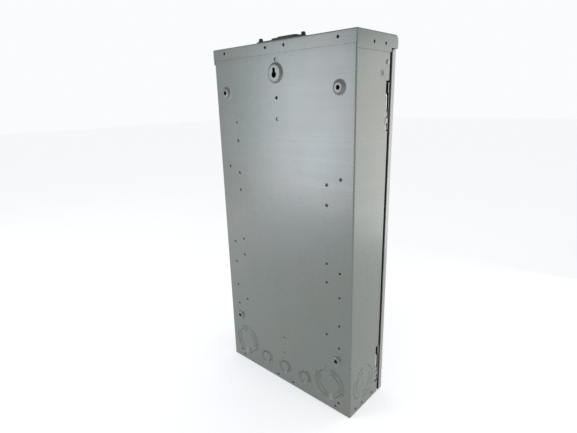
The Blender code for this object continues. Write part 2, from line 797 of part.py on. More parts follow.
def make_lug(name, x, y, z):
    """A wire lug: a block with a bore from above and a hole for its clamping screw in front."""
    lug = block(name, x, y, z, aluminium)
    middle_x, middle_y, middle_z = span_centre(x, y, z)

    def wire(bm):
        add_rod(bm, 7.0, 60.0, (middle_x, middle_y, middle_z), "Z", 12)

    def clamp(bm):
        add_rod(bm, 4.5, 20.0, (middle_x, y[0], middle_z), "Y", 8)

    cut(lug, name + "_bore", wire)
    cut(lug, name + "_clamp", clamp)


def breaker_outline(side):
    """The outline of a branch breaker, seen from above, with its stab recess and rail hook.

    The shoulders beside the nose step back a little towards the middle, as the moulding does.
    """
    half = [
        (3.0, 18.0), (16.5, 18.0), (16.5, 24.0), (79.5, 24.0), (79.5, 20.8), (75.2, 20.8), (75.2, 16.7),
        (79.5, 16.7), (79.5, -24.0), (68.5, -34.0), (66.0, -34.0), (66.0, -48.5), (22.0, -48.5),
        (22.0, -33.0), (3.0, -32.5),
    ]
    return [(side * x, y) for x, y in half]


def make_branch_breakers():
    """Eight plug-on breakers in two columns; each handle is off at its outer stop."""
    number = 0
    for row in range(BREAKERS_PER_SIDE):
        for side in (-1, 1):
            number += 1
            z = space_z(row)
            low, high = z - BREAKER_WIDTH / 2, z + BREAKER_WIDTH / 2
            case = outline_solid(
                f"breaker_case_{number}", breaker_outline(side), low, high, "Z", black_plastic
            )
            pivot_x = side * HANDLE_PIVOT[0]

            def pocket(bm, pivot_x=pivot_x, z=z):
                add_block(bm, (pivot_x - 15.0, pivot_x + 15.0), (-60.0, -17.5), (z - 5.5, z + 5.5))

            cut(case, f"handle_pocket_{number}", pocket)
            make_handle(f"breaker_handle_{number}", (pivot_x, HANDLE_PIVOT[1], z), side)


def make_handle(name, pivot, side):
    """A breaker handle: a lever on a round saddle that fills its slot, tilted outwards when off."""
    bm = bmesh.new()
    add_block(bm, (-2.5, 2.5), (-25.0, -2.0), (-4.6, 4.6))
    lever = put(name, bm, pivot, handle_plastic)
    lever.rotation_euler = (0.0, 0.0, side * HANDLE_TILT)

    def hub(bm):
        add_rod(bm, 14.5, 9.6, pivot, "Z", 16)

    join(lever, name + "_hub", hub)


def make_main_breaker():
    """The main breaker above the bus bars; its handle is down when off."""
    case = block("main_breaker_case", (-38.0, 38.0), (-34.0, 30.2), MAIN_Z, black_plastic)
    pivot_z, pivot_y = MAIN_PIVOT

    def nose(bm):
        add_block(bm, (-30.0, 30.0), (-48.5, -33.0), (pivot_z - 35.0, pivot_z + 35.0))

    def pocket(bm):
        add_block(bm, (-9.5, 9.5), (-60.0, -14.0), (pivot_z - 17.0, pivot_z + 17.0))

    join(case, "main_nose", nose)
    cut(case, "main_pocket", pocket)
    bm = bmesh.new()
    add_block(bm, (-8.0, 8.0), (-26.0, -3.0), (-3.5, 3.5))
    pivot = (0.0, pivot_y, pivot_z)
    lever = put("main_breaker_handle", bm, pivot, handle_plastic)
    lever.rotation_euler = (HANDLE_TILT, 0.0, 0.0)

    def hub(bm):
        add_rod(bm, 16.0, 17.0, pivot, "X", 16)

    join(lever, "main_hub", hub)


def make_deadfront():
    """The inner cover: a shallow tray over the live parts, with windows for the breakers."""
    cover = tray(
        "deadfront",
        (-DEADFRONT_HALF_W, DEADFRONT_HALF_W),
        (DEADFRONT_Y, FRONT_EDGE_Y - FIT),
        DEADFRONT_Z,
        (0, 1, 0),
        paint,
        thickness=DEADFRONT_SHEET,
    )
    bottom = SPACES_BOTTOM - 0.4
    top = SPACES_BOTTOM + SPACE_PITCH * SPACES_PER_SIDE + 0.4

    def windows(bm):
        deep = (DEADFRONT_Y - 5.0, DEADFRONT_Y + 5.0)
        for side in (-1, 1):
            add_block(bm, sorted(side * x for x in WINDOW_X), deep, (bottom, top))
        reach = 36.5
        add_block(bm, (-31.5, 31.5), deep, (MAIN_PIVOT[0] - reach, MAIN_PIVOT[0] + reach))

    def screw_holes(bm):
        for x, z in deadfront_screws():
            add_rod(bm, CLEAR_HOLE_RADIUS, 10.0, (x, DEADFRONT_Y, z), "Y", 8)

    cut(cover, "deadfront_windows", windows)
    cut(cover, "deadfront_screw_holes", screw_holes)
    for number, (x, z) in enumerate(deadfront_screws(), 1):
        centre = (x, DEADFRONT_Y - FIT, z)
        screw(f"deadfront_screw_{number}", centre, 4.5, 2.6, "-Y", zinc, shank=(2.0, 5.0))
    filler_top = space_z(BREAKERS_PER_SIDE - 1) - SPACE_PITCH / 2 - FIT
    for side, label in ((-1, "left"), (1, "right")):
        x = sorted((side * (WINDOW_X[0] + FIT), side * (WINDOW_X[1] - FIT)))
        y = (DEADFRONT_Y - 1.0, DEADFRONT_Y + 1.2)
        block("filler_plate_" + label, x, y, (SPACES_BOTTOM, filler_top), black_plastic)


def deadfront_screws():
    """Where the cover is screwed to the box's front lips, as (x, z)."""
    reach = BOX_HALF_W - LIP + 6.5
    return [(side * reach, z) for z in (60.0, 664.0) for side in (-1, 1)]


clear_scene()
parts = make_collection("breaker_panel_box")
cutters = make_collection("cutters")

paint = finish("grey_paint", (0.36, 0.40, 0.38), 0.38, 0.25)
zinc = finish("zinc_plate", (0.55, 0.55, 0.52), 0.35, 1.0)
galvanised = finish("galvanised_sheet", (0.52, 0.54, 0.55), 0.45, 1.0)
tin = finish("tin_plated_bar", (0.70, 0.70, 0.68), 0.30, 1.0)
aluminium = finish("aluminium_bar", (0.62, 0.63, 0.64), 0.40, 1.0)
black_plastic = finish("black_plastic", (0.02, 0.02, 0.022), 0.45, 0.0)
base_plastic = finish("base_plastic", (0.10, 0.03, 0.02), 0.50, 0.0)
handle_plastic = finish("handle_plastic", (0.03, 0.03, 0.03), 0.35, 0.0)
rubber = finish("gasket_rubber", (0.03, 0.03, 0.03), 0.80, 0.0)

make_box_wrap()
make_rain_cap()
make_bottom_endwall()
make_top_rail()
make_hub_closure()
door_panel = make_door()
leaves = [make_hinge(where, base) for where, base in HINGE_BASES.items()]
latch_pieces = make_latch()
make_interior_pan()
make_moulded_base()
make_bus_bars()
make_terminals()
make_main_breaker()
make_branch_breakers()
make_deadfront()
door_axis = add_empty("door_axis", (HINGE_X, HINGE_Y, DOOR_BOTTOM))
latch_axis = add_empty("latch_axis", (LATCH_X, DOOR_FACE_Y, LATCH_Z))
hang_on(latch_axis, *latch_pieces)
hang_on(door_axis, door_panel, *leaves, latch_axis)
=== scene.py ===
# %% [markdown]
# # An outdoor breaker panel box
# The real box is folded from painted sheet steel, capped against rain, and holds a row of breakers behind
# an inner cover. A frame of exact solids already fixes every size and every moving part. This lesson makes
# the fine surfaces round that frame, piece by piece, with Blender's mesh operators, so that nothing has
# to be measured by eye.

# %% Load the frame
import json
import math

import bmesh
import bpy
from mathutils import Matrix, Quaternion, Vector


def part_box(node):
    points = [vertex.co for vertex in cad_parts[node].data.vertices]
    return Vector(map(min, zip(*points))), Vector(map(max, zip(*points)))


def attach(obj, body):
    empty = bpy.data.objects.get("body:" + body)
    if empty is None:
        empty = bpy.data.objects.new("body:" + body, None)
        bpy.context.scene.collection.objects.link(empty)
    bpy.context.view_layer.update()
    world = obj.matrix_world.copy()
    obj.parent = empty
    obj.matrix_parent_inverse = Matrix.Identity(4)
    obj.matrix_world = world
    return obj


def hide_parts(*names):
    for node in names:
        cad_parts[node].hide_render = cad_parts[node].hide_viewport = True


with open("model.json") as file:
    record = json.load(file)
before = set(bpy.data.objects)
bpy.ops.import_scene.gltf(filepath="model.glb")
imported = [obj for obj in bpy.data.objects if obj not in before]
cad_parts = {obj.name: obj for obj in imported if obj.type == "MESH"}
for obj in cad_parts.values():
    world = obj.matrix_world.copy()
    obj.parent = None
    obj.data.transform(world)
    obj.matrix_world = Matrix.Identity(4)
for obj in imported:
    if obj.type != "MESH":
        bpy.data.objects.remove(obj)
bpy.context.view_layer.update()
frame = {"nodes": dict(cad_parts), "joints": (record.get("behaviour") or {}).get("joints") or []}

MM = 0.001

# %% [markdown]
# ## The camera
# A camera could be turned by hand until it looks right. Working from an azimuth, an elevation and a small
# roll says where it stands in numbers that another person can repeat.

# %% Place the camera
CAMERA_PLACE = (-0.5557, 0.6471, 0.6412)
AZIMUTH, ELEVATION, ROLL = (math.radians(angle) for angle in (222.45, 16.16, -1.6))
LENS = 24.87
SENSOR = 36.0

towards_camera = Vector((
    math.sin(AZIMUTH) * math.cos(ELEVATION),
    -math.cos(AZIMUTH) * math.cos(ELEVATION),
    math.sin(ELEVATION),
))
camera = bpy.data.objects.new("camera", bpy.data.cameras.new("camera"))
bpy.context.scene.collection.objects.link(camera)
camera.data.lens = LENS
camera.data.sensor_width = SENSOR
camera.rotation_mode = "QUATERNION"
camera.rotation_quaternion = (-towards_camera).to_track_quat("-Z", "Y") @ Quaternion((0, 0, 1), ROLL)
camera.location = CAMERA_PLACE
bpy.context.scene.camera = camera
print("camera", round(math.degrees(AZIMUTH)), "degrees round, lens", LENS, "mm")

# %% [markdown]
# ## Shader maths as sums
# A finish mixes several patterns, and each mix is a Math node. Adding nodes one by one hides the formula.
# A small class that wraps a socket lets the formula be written as a sum, and the nodes appear behind it.


# %% A socket that can be used in a sum
class Pattern:
    """A number that varies over a surface; a sum on it adds a Math node."""

    def __init__(self, finish, socket):
        self.finish = finish
        self.socket = socket

    def math(self, operation, left, right):
        return self.finish.add("ShaderNodeMath", {"operation": operation}, {0: left, 1: right})

    def __add__(self, other):
        return self.math("ADD", self, other)

    def __sub__(self, other):
        return self.math("SUBTRACT", self, other)

    def __rsub__(self, other):
        return self.math("SUBTRACT", other, self)

    def __mul__(self, other):
        return self.math("MULTIPLY", self, other)

    __radd__ = __add__
    __rmul__ = __mul__


# %% [markdown]
# ## One class for every finish
# Each finish is a Principled shader with patterns feeding it. Patterns read Object coordinates, which are
# the frame's own metres, so a noise scale of 100 always means marks about 10 mm across.


# %% The class that builds a finish
class Finish:
    """A material: a Principled shader and the patterns that feed it."""

    def __init__(self, name, **numbers):
        self.material = bpy.data.materials.new(name)
        self.material.use_nodes = True
        self.tree = self.material.node_tree
        self.shader = self.tree.nodes["Principled BSDF"]
        self.place = self.add("ShaderNodeTexCoord", output="Object")
        for socket, value in numbers.items():
            self.shader.inputs[socket.replace("_", " ")].default_value = value

    def add(self, kind, settings=None, inputs=None, output=0):
        """Add a node: its settings first, then the values or links of its sockets."""
        node = self.tree.nodes.new(kind)
        for name, value in (settings or {}).items():
            setattr(node, name, value)
        for name, value in (inputs or {}).items():
            self.feed(node.inputs[name], value)
        return Pattern(self, node.outputs[output])

    def feed(self, socket, value):
        if isinstance(value, Pattern):
            self.tree.links.new(value.socket, socket)
        else:
            socket.default_value = value

    def noise(self, scale, stretch=(1.0, 1.0, 1.0), detail=3.0):
        place = self.add("ShaderNodeMapping", {}, {"Vector": self.place, "Scale": stretch})
        return self.add("ShaderNodeTexNoise", {}, {"Vector": place, "Scale": scale, "Detail": detail})

    def cells(self, scale):
        return self.add("ShaderNodeTexVoronoi", {}, {"Vector": self.place, "Scale": scale}, "Color")

    def mask(self, pattern, low, high):
        """Spread the part of a pattern from low to high over 0 to 1."""
        span = {"Value": pattern, "From Min": low, "From Max": high}
        return self.add("ShaderNodeMapRange", {"clamp": True}, span)

    def blend(self, mask, first, second):
        """Colour first where mask is 0, and second where it is 1."""
        colours = {0: mask, 6: first, 7: second}
        return self.add("ShaderNodeMix", {"data_type": "RGBA"}, colours, output=2)

    def relief(self, height, depth):
        """Bump the surface by a pattern of heights; depth is in millimetres."""
        bump = self.add("ShaderNodeBump", {}, {"Height": height, "Distance": depth * MM, "Strength": 1.0})
        self.feed(self.shader.inputs["Normal"], bump)

    def colour(self, value):
        self.feed(self.shader.inputs["Base Color"], value)

    def roughness(self, value):
        self.feed(self.shader.inputs["Roughness"], value)


def shade(colour, factor):
    """A linear colour made lighter or darker, with its alpha."""
    return (*(channel * factor for channel in colour), 1.0)


# %% [markdown]
# ## Baked enamel
# The sheet is sprayed with light grey enamel and baked. Close up it has three marks: faint bands where the
# sheet was rolled, the fine ripple called orange peel, and slow drifts of tint. A flat grey would lose all
# three, and an image wrapped on it would not follow the folds.


# %% Make the enamel
def enamel(name, colour, cool, warm):
    """Grey enamel on rolled sheet; cool and warm are the colours that its tint drifts between."""
    paint = Finish(name, Metallic=0.30, Coat_Weight=0.18, Coat_Roughness=0.28)
    drift = paint.mask(paint.noise(7.0, detail=2.0), 0.38, 0.62)
    cloud = paint.mask(paint.noise(16.0, (1.0, 1.0, 0.6), detail=2.0), 0.35, 0.65)
    bands = paint.noise(26.0, (0.10, 0.10, 6.0), detail=1.0)
    tint = paint.blend(drift, shade(cool, 1.0), shade(warm, 1.0))
    lit = paint.blend(cloud * 0.45, tint, shade(colour, 1.05))
    paint.colour(paint.blend(paint.mask(bands, 0.30, 0.75) * 0.10, lit, shade(colour, 0.90)))
    paint.roughness(0.23 + 0.06 * bands + 0.03 * cloud)
    peel = paint.noise(420.0, detail=2.0)
    paint.relief(0.25 * peel, 0.12)
    return paint.material


GREY = (0.163, 0.178, 0.160)
DOOR_GREY = (0.268, 0.268, 0.260)
grey_enamel = enamel("grey_enamel", GREY, (0.153, 0.177, 0.158), (0.172, 0.177, 0.156))
door_enamel = enamel("door_enamel", DOOR_GREY, (0.260, 0.268, 0.260), (0.276, 0.266, 0.258))
print("enamels made")

# %% [markdown]
# ## Plated and galvanised metal
# Screws and hinges are zinc plated, which leaves a bright skin with soft clouds. The inner pan is hot-dip
# galvanised, whose zinc froze as flat crystals. Voronoi cells give each crystal its own brightness. Bars
# are tin plated or extruded, and extrusion leaves lines along their length.


# %% Make the metals
def plated_metal(name, colour, roughness, line_stretch):
    """A plated or extruded metal with soft clouds and fine lines along the axis that is stretched least."""
    metal = Finish(name, Metallic=1.0)
    clouds = metal.mask(metal.noise(90.0, detail=3.0), 0.35, 0.65)
    lines = metal.noise(320.0, line_stretch, detail=3.0)
    metal.colour(metal.blend(clouds * 0.6, shade(colour, 0.84), shade(colour, 1.08)))
    metal.roughness(roughness + 0.12 * clouds + 0.10 * lines)
    metal.relief(lines, 0.05)
    return metal.material


def galvanised_sheet(name, colour):
    """Galvanised steel, with crystals of several brightnesses."""
    metal = Finish(name, Metallic=1.0)
    crystal = metal.mask(metal.cells(85.0), 0.0, 1.0)
    feather = metal.noise(260.0, (1.0, 1.0, 3.0), detail=3.0)
    metal.colour(metal.blend(crystal * 0.8, shade(colour, 0.72), shade(colour, 1.12)))
    metal.roughness(0.26 + 0.22 * crystal + 0.10 * feather)
    metal.relief(0.5 * crystal + 0.5 * feather, 0.06)
    return metal.material


zinc = plated_metal("zinc_plate", (0.60, 0.60, 0.575), 0.24, (1.0, 1.0, 0.2))
black_zinc = plated_metal("black_zinc", (0.055, 0.056, 0.060), 0.34, (1.0, 1.0, 0.2))
hinge_zinc = plated_metal("passivated_zinc", (0.40, 0.40, 0.37), 0.28, (1.0, 1.0, 0.2))
tin = plated_metal("tin_plated_bar", (0.70, 0.70, 0.675), 0.20, (1.0, 1.0, 0.15))
aluminium = plated_metal("extruded_aluminium", (0.62, 0.63, 0.64), 0.30, (1.0, 1.0, 0.08))
galvanised = galvanised_sheet("galvanised_sheet", (0.52, 0.54, 0.55))
print("metals made")

# %% [markdown]
# ## Moulded plastic and rubber
# The hub plate, breakers and knob are glass-filled plastic. The mould was spark eroded, so the faces have a
# fine even grain, a little glossier where they have been handled. Rubber is duller, with grey bloom on it.


# %% Make the plastics
def moulded_plastic(name, colour, roughness, grain=0.05):
    """Moulded plastic with a spark-eroded grain."""
    plastic = Finish(name, Specular_IOR_Level=0.45)
    flow = plastic.mask(plastic.noise(35.0, detail=2.0), 0.35, 0.65)
    pits = plastic.noise(1500.0, detail=2.0)
    plastic.colour(plastic.blend(flow * 0.5, shade(colour, 1.0), shade(colour, 1.35)))
    plastic.roughness(roughness + 0.10 * flow + 0.12 * pits)
    plastic.relief(pits, grain)
    return plastic.material


black_plastic = moulded_plastic("black_plastic", (0.018, 0.018, 0.020), 0.38)
handle_plastic = moulded_plastic("handle_plastic", (0.030, 0.031, 0.033), 0.26, grain=0.02)
base_plastic = moulded_plastic("base_plastic", (0.115, 0.032, 0.022), 0.42)
gasket_rubber = moulded_plastic("gasket_rubber", (0.030, 0.030, 0.031), 0.70, grain=0.12)
print("plastics made")

# %% [markdown]
# ## Helpers for small shapes
# Most pieces start as a block or a rod and have their edges rounded, because a real edge is never a
# perfect line and its thin highlight is what makes a piece look solid. These helpers work in millimetres.

# %% Blocks, rods and rounded edges
NEAR = 0.02
TURN = {
    "X": Matrix.Rotation(math.pi / 2, 4, "Y"),
    "Y": Matrix.Rotation(-math.pi / 2, 4, "X"),
    "Z": Matrix.Identity(4),
}


def add_block(bm, x, y, z):
    """A block between the planes x, y and z, each a low and a high."""
    spans = [sorted(span) for span in (x, y, z)]
    centre = Vector([sum(span) / 2 for span in spans])
    size = Matrix.Diagonal((*[span[1] - span[0] for span in spans], 1.0))
    return bmesh.ops.create_cube(bm, size=1.0, matrix=Matrix.Translation(centre) @ size)["verts"]


def add_rod(bm, radius, span, centre, axis="Z", tip=None, steps=32):
    """A rod along axis; span is its low and high, and centre its place on the other two axes."""
    index = "XYZ".index(axis)
    middle = list(centre)
    middle.insert(index, sum(span) / 2)
    made = bmesh.ops.create_cone(
        bm,
        cap_ends=True,
        segments=steps,
        radius1=radius,
        radius2=radius if tip is None else tip,
        depth=abs(span[1] - span[0]),
        matrix=Matrix.Translation(middle) @ TURN[axis],
    )
    return made["verts"]


def edges_of(verts):
    """The edges that join two of these vertices, in the order that they are met."""
    known = set(verts)
    found = [e for v in verts for e in v.link_edges if e.other_vert(v) in known]
    return list(dict.fromkeys(found))


def sharp(edges, angle=30.0):
    return [e for e in edges if e.is_manifold and e.calc_face_angle() > math.radians(angle)]


def rim_at(verts, axis, level):
    """The edges that lie in the plane where axis has this level."""
    index = "XYZ".index(axis)
    return [e for e in edges_of(verts) if all(abs(v.co[index] - level) < NEAR for v in e.verts)]


def round_off(bm, edges, width, segments=3):
    """Round edges by the bevel operator."""
    bmesh.ops.bevel(
        bm,
        geom=edges,
        offset=width,
        offset_type="OFFSET",
        segments=segments,
        profile=0.5,
        affect="EDGES",
        clamp_overlap=True,
        material=-1,
    )


def rounded_rod(radius, span, centre, axis, width, segments=2, steps=32):
    """A rod on its own, with both its rims rounded."""
    bm = bmesh.new()
    verts = add_rod(bm, radius, span, centre, axis, steps=steps)
    round_off(bm, sharp(edges_of(verts), 60.0), width, segments)
    return bm


def rounded_block(x, y, z, width, segments=3, corners=None):
    """A block with all its edges rounded; corners first rounds the four edges along one axis more."""
    bm = bmesh.new()
    add_block(bm, x, y, z)
    if corners:
        axis, radius = corners
        index = "XYZ".index(axis)
        along = [e for e in bm.edges if abs((e.verts[0].co - e.verts[1].co)[index]) > 1e-3]
        round_off(bm, along, radius, 6)
    bm.normal_update()
    round_off(bm, sharp(bm.edges), width, segments)
    return bm


# %% [markdown]
# ## Cutting and joining
# A hole could be cut vertex by vertex, but a Boolean modifier finds the crossing for any pair of closed
# shapes. It is applied at once, so that what rides on the frame is a finished mesh.


# %% Cut or join shapes
PAST = 5.0


def holder(bm, name):
    """Turn a bmesh into an object, and use it up."""
    mesh = bpy.data.meshes.new(name)
    bm.to_mesh(mesh)
    bm.free()
    obj = bpy.data.objects.new(name, mesh)
    bpy.context.scene.collection.objects.link(obj)
    return obj


def combine(base, tool, operation="DIFFERENCE"):
    """Cut tool from base, or join it with UNION. Both are used up, and the result is a new bmesh."""
    work, cutter = holder(base, "work"), holder(tool, "cutter")
    modifier = work.modifiers.new("Cut", "BOOLEAN")
    modifier.operation = operation
    modifier.solver = "EXACT"
    modifier.object = cutter
    made = bmesh.new()
    made.from_object(work, bpy.context.evaluated_depsgraph_get())
    for obj in (work, cutter):
        mesh = obj.data
        bpy.data.objects.remove(obj)
        bpy.data.meshes.remove(mesh)
    return made


def join(base, *parts):
    """Join each part to base in turn."""
    for part in parts:
        base = combine(base, part, "UNION")
    return base


def past(low, high):
    """A span that runs beyond both faces, for a tool that cuts right through."""
    return (low - PAST, high + PAST)


def drill(base, radius, span, places, axis, steps=24):
    """Drill a hole of one radius along axis at each place."""
    tool = bmesh.new()
    for place in places:
        add_rod(tool, radius, span, place, axis, steps=steps)
    return combine(base, tool)


# %% [markdown]
# ## From a bmesh to a piece
# A finished piece sits at the origin with its place in its mesh. It rides on a body, carries its finish, and
# stands for the plain solid that it replaces, which is hidden.

# %% Finish a piece
SMOOTH = math.radians(32.0)


def piece(name, bm, finish, *nodes, body="box"):
    """Turn a bmesh in millimetres into a named object on its body."""
    bmesh.ops.scale(bm, vec=(MM, MM, MM), verts=bm.verts)
    obj = holder(bm, name)
    obj.data.materials.append(finish)
    obj.data.shade_smooth()
    obj.data.set_sharp_from_angle(angle=SMOOTH)
    weighted = obj.modifiers.new("Weighted normals", "WEIGHTED_NORMAL")
    weighted.keep_sharp = True
    weighted.weight = 100
    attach(obj, body)
    if nodes:
        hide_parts(*nodes)
    print(name, len(obj.data.polygons), "faces")


def spans(node):
    """A node's low and high along x, y and z, in millimetres."""
    low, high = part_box(node)
    return [(a / MM, b / MM) for a, b in zip(low, high)]


# %% [markdown]
# ## Sheet metal from flat faces
# The box is one sheet that has been punched, pressed and folded. It could be cut from a block by Booleans,
# but then the pressed shapes would have no radii. Here each face starts as an outline with rings in it;
# the triangle fill operator spans what lies between them, extruding a ring presses the metal round it,
# and thickness is given once, at the end, as it is in a real sheet.

# %% Outlines, rings and pressing
SHEET = 1.5
RING_STEPS = 48
HOLE_STEPS = 16


def verts_in(geom):
    """The vertices among what an operator made."""
    return [item for item in geom if isinstance(item, bmesh.types.BMVert)]


def outline(bm, corners):
    """A closed loop of straight edges through the corners."""
    verts = [bm.verts.new(corner) for corner in corners]
    return [bm.edges.new(pair) for pair in zip(verts, verts[1:] + verts[:1])]


def ring(bm, centre, radius, out, steps=RING_STEPS):
    """A round loop of edges facing out."""
    turn = Vector(out).to_track_quat("Z", "Y").to_matrix().to_4x4()
    place = Matrix.Translation(centre) @ turn
    made = bmesh.ops.create_circle(bm, cap_ends=False, radius=radius, segments=steps, matrix=place)
    return edges_of(made["verts"])


def fill_flat(bm, edges, out):
    bmesh.ops.triangle_fill(bm, edges=edges, use_beauty=True, use_dissolve=False, normal=out)


def press(bm, edges, centre, out, steps):
    """Draw a ring through (radius, height) steps, and return every ring, the first one included."""
    rings = [edges]
    out = Vector(out)
    for radius, height in steps:
        verts = verts_in(bmesh.ops.extrude_edge_only(bm, edges=rings[-1])["geom"])
        spoke = verts[0].co - Vector(centre)
        now = spoke.dot(out)
        share = radius / (spoke - out * now).length
        hub = Matrix.Translation(-(Vector(centre) + out * now))
        bmesh.ops.scale(bm, vec=(share, share, share), space=hub, verts=verts)
        bmesh.ops.translate(bm, vec=out * (height - now), verts=verts)
        rings.append(edges_of(verts))
    return rings


# %% [markdown]
# ## Features in a sheet
# Four features repeat over the faces: a plain hole, a hole with a soft dimple where the punch drew the
# metal, a stand-off boss, and a knockout with its rings. Each is a function that takes a place and a
# direction, so the same one works on the back and on the sides.

# %% Holes, dimples, bosses and knockouts
GROOVE = 1.5
GROOVE_DEPTH = 1.35
BOSS_MARGIN = 1.6
FOOT_BEND = (1.4, 4)
FACE_BEND = (1.9, 5)
TIES = 2
TIE = math.radians(16.0)
DIMPLE_RADIUS = 4.2
DIMPLE = ((3.5, -0.10), (2.7, -0.60))
knockouts = []


def plain_hole(bm, centre, out, radius):
    return ring(bm, centre, radius, out, HOLE_STEPS)


def dimpled_hole(bm, centre, out):
    edges = ring(bm, centre, DIMPLE_RADIUS, out, HOLE_STEPS)
    press(bm, edges, centre, out, DIMPLE)
    return edges


def boss(bm, centre, out, foot, face, height, hole):
    """A round boss with soft shoulders; returns its first ring and its last, round the hole."""
    start = ring(bm, centre, foot + BOSS_MARGIN, out)
    rings = press(bm, start, centre, out, [(foot, 0.0), (face, height), (hole, height)])
    round_off(bm, rings[1], *FOOT_BEND)
    round_off(bm, rings[2], *FACE_BEND)
    return start, rings[3]


def keyhole(bm, bulb, bulb_radius, slot_radius, slot_top):
    """The outline of a keyhole facing +Y: two arcs, each a point spun round its centre, joined by lines."""
    earlier = set(bm.verts)
    begin = math.asin(slot_radius / bulb_radius)
    x, y, z = bulb
    slot_end = (x, y, slot_top - slot_radius)
    arcs = [
        ((x + slot_radius, y, z + bulb_radius * math.cos(begin)), bulb, math.tau - 2 * begin, 32),
        ((x - slot_radius, y, slot_end[2]), slot_end, math.pi, 12),
    ]
    ends = []
    for place, centre, angle, steps in arcs:
        ends.append(bm.verts.new(place))
        made = bmesh.ops.spin(bm, geom=ends[-1:], cent=centre, axis=(0, 1, 0), angle=angle, steps=steps)
        ends.append(made["geom_last"][0])
    bm.edges.new((ends[1], ends[2]))
    bm.edges.new((ends[3], ends[0]))
    return edges_of([vert for vert in bm.verts if vert not in earlier])


def knockout(bm, centre, out, radii, lift=0.0):
    """A disc ringed by grooves, which are pressed once the sheet has its thickness; lift raises the disc."""
    start = ring(bm, centre, radii[0] + GROOVE, out)
    steps = []
    for number, radius in enumerate(radii):
        if number:
            steps.append((radius + GROOVE, 0.0))
        steps += [(radius, 0.0), (radius - GROOVE, lift if radius == radii[-1] else 0.0)]
    rings = press(bm, start, centre, out, steps)
    bmesh.ops.contextual_create(bm, geom=rings[-1])
    knockouts.append((Vector(centre), Vector(out), radii))
    return start


def press_grooves(bm):
    """Sink the grooves of the outer skin, all but the ties that still hold each slug."""
    turn = math.tau / TIES
    for centre, out, radii in knockouts:
        across = out.orthogonal().normalized()
        up = out.cross(across)
        for vert in bm.verts:
            spoke = vert.co - centre
            if abs(spoke.dot(out)) > NEAR or spoke.length > radii[0] + GROOVE:
                continue
            for number, radius in enumerate(radii):
                angle = math.atan2(spoke.dot(up), spoke.dot(across)) + number * math.pi / 2
                off_tie = abs((angle + turn / 2) % turn - turn / 2) > TIE / 2
                if abs(spoke.length - radius) < 0.1 and off_tie:
                    vert.co -= out * GROOVE_DEPTH
    knockouts.clear()


# %% [markdown]
# ## Folding
# A fold is a vertical edge spun a quarter turn round the bend's axis. The sheet's outer skin is made
# first, its doubled points are merged, and the solidify operator then adds the thickness inwards.

# %% Folds and thickness
BEND = 2.5
BEND_STEPS = 6


def fold(bm, edge, centre, degrees):
    bmesh.ops.spin(
        bm,
        geom=[edge, *edge.verts],
        cent=(*centre, 0.0),
        axis=(0.0, 0.0, 1.0),
        angle=math.radians(degrees),
        steps=BEND_STEPS,
    )


def thicken(bm, thickness, inside):
    """Merge the skin, face it away from the point inside, and thicken it inwards."""
    bmesh.ops.remove_doubles(bm, verts=bm.verts, dist=NEAR)
    bmesh.ops.recalc_face_normals(bm, faces=bm.faces)
    largest = max(bm.faces, key=lambda face: face.calc_area())
    if largest.normal.dot(largest.calc_center_median() - Vector(inside)) < 0:
        bmesh.ops.reverse_faces(bm, faces=bm.faces)
    bmesh.ops.solidify(bm, geom=list(bm.faces), thickness=thickness)
    open_edges = sum(not e.is_manifold for e in bm.edges)
    print("sheet with", len(bm.faces), "faces and", open_edges, "open edges")
    return bm


# %% [markdown]
# ## The box
# The back, both sides and the front lips are one sheet. The back carries a keyhole boss to hang it by and
# four stand-off bosses for wall screws, rows of fixing holes, and knockouts for conduit along the bottom.
# The hinge side has a notch for each hinge.

# %% Sizes of the box
(_, HALF), (front, rear), (bottom, top) = spans("box_wrap")
STANDOFF = 5.0
BACK = rear - STANDOFF
LIP = 22.0
HINGE_X, HINGE_Y = (place / MM for place in frame["joints"][0]["pos_m"][:2])
HINGE_BASES = {"upper": 583.0, "lower": 31.0}
NOTCH_HEIGHT = 89.0
NOTCH_BACK = -33.0
NOTCH_SIDE = HINGE_X + 8.0
notches = sorted((base - 1.0, base + NOTCH_HEIGHT) for base in HINGE_BASES.values())

WALL_BOSSES = [(side * 147.5, z) for z in (661.0, 125.0) for side in (-1, 1)]
WALL_BOSS = {"foot": 12.5, "face": 8.8, "height": STANDOFF, "hole": 4.2}
KEYHOLE_BOSS = {"foot": 18.5, "face": 15.6, "height": STANDOFF, "hole": 11.8}
KEYHOLE_Z = 693.0
BULB_Z = KEYHOLE_Z - 3.0
SLOT_TOP = KEYHOLE_Z + 10.0
BULB_RADIUS = 6.0
SLOT_RADIUS = 3.4
MIDDLE_HOLES = [(0.0, z) for z in (718.0, 648.0, 608.0, 118.0, 78.0)]
PAIRED_HOLES = [(121.0, z) for z in (490.0, 451.0, 333.0, 293.0, 176.0)]
PAIRED_HOLES += [(152.0, z) for z in (503.0, 320.0, 268.0, 206.0, 155.0)]
PAIRED_HOLES += [(144.0, 9.8), (152.0, 21.8), (23.5, 8.1)]
ODD_HOLES = [(120.0, 600.0), (120.0, 561.0)]
LARGE_KNOCKOUTS = [(side * 128.0, 59.0) for side in (-1, 1)]
SMALL_KNOCKOUTS = [(x, 42.0) for x in (-60.0, 0.0, 60.0)]
LARGE_RINGS = (37.0, 31.5, 25.5)
SMALL_RINGS = (17.5, 12.5)
SLUG_LIFT = 1.2
SIDE_RINGS = (36.5, 25.5)
SIDE_KNOCKOUT = (16.0, 60.0)
RAIL_SCREW = (-36.0, 703.0)
SCREW_HOLE = 2.4
CAP_HOLE = 2.9
CAP_REAR_HOLES = [(side * x, 740.0) for side in (-1, 1) for x in (145.0, 24.0)]
CAP_SIDE_HOLES = [(15.0, 733.0), (-24.0, 733.0)]
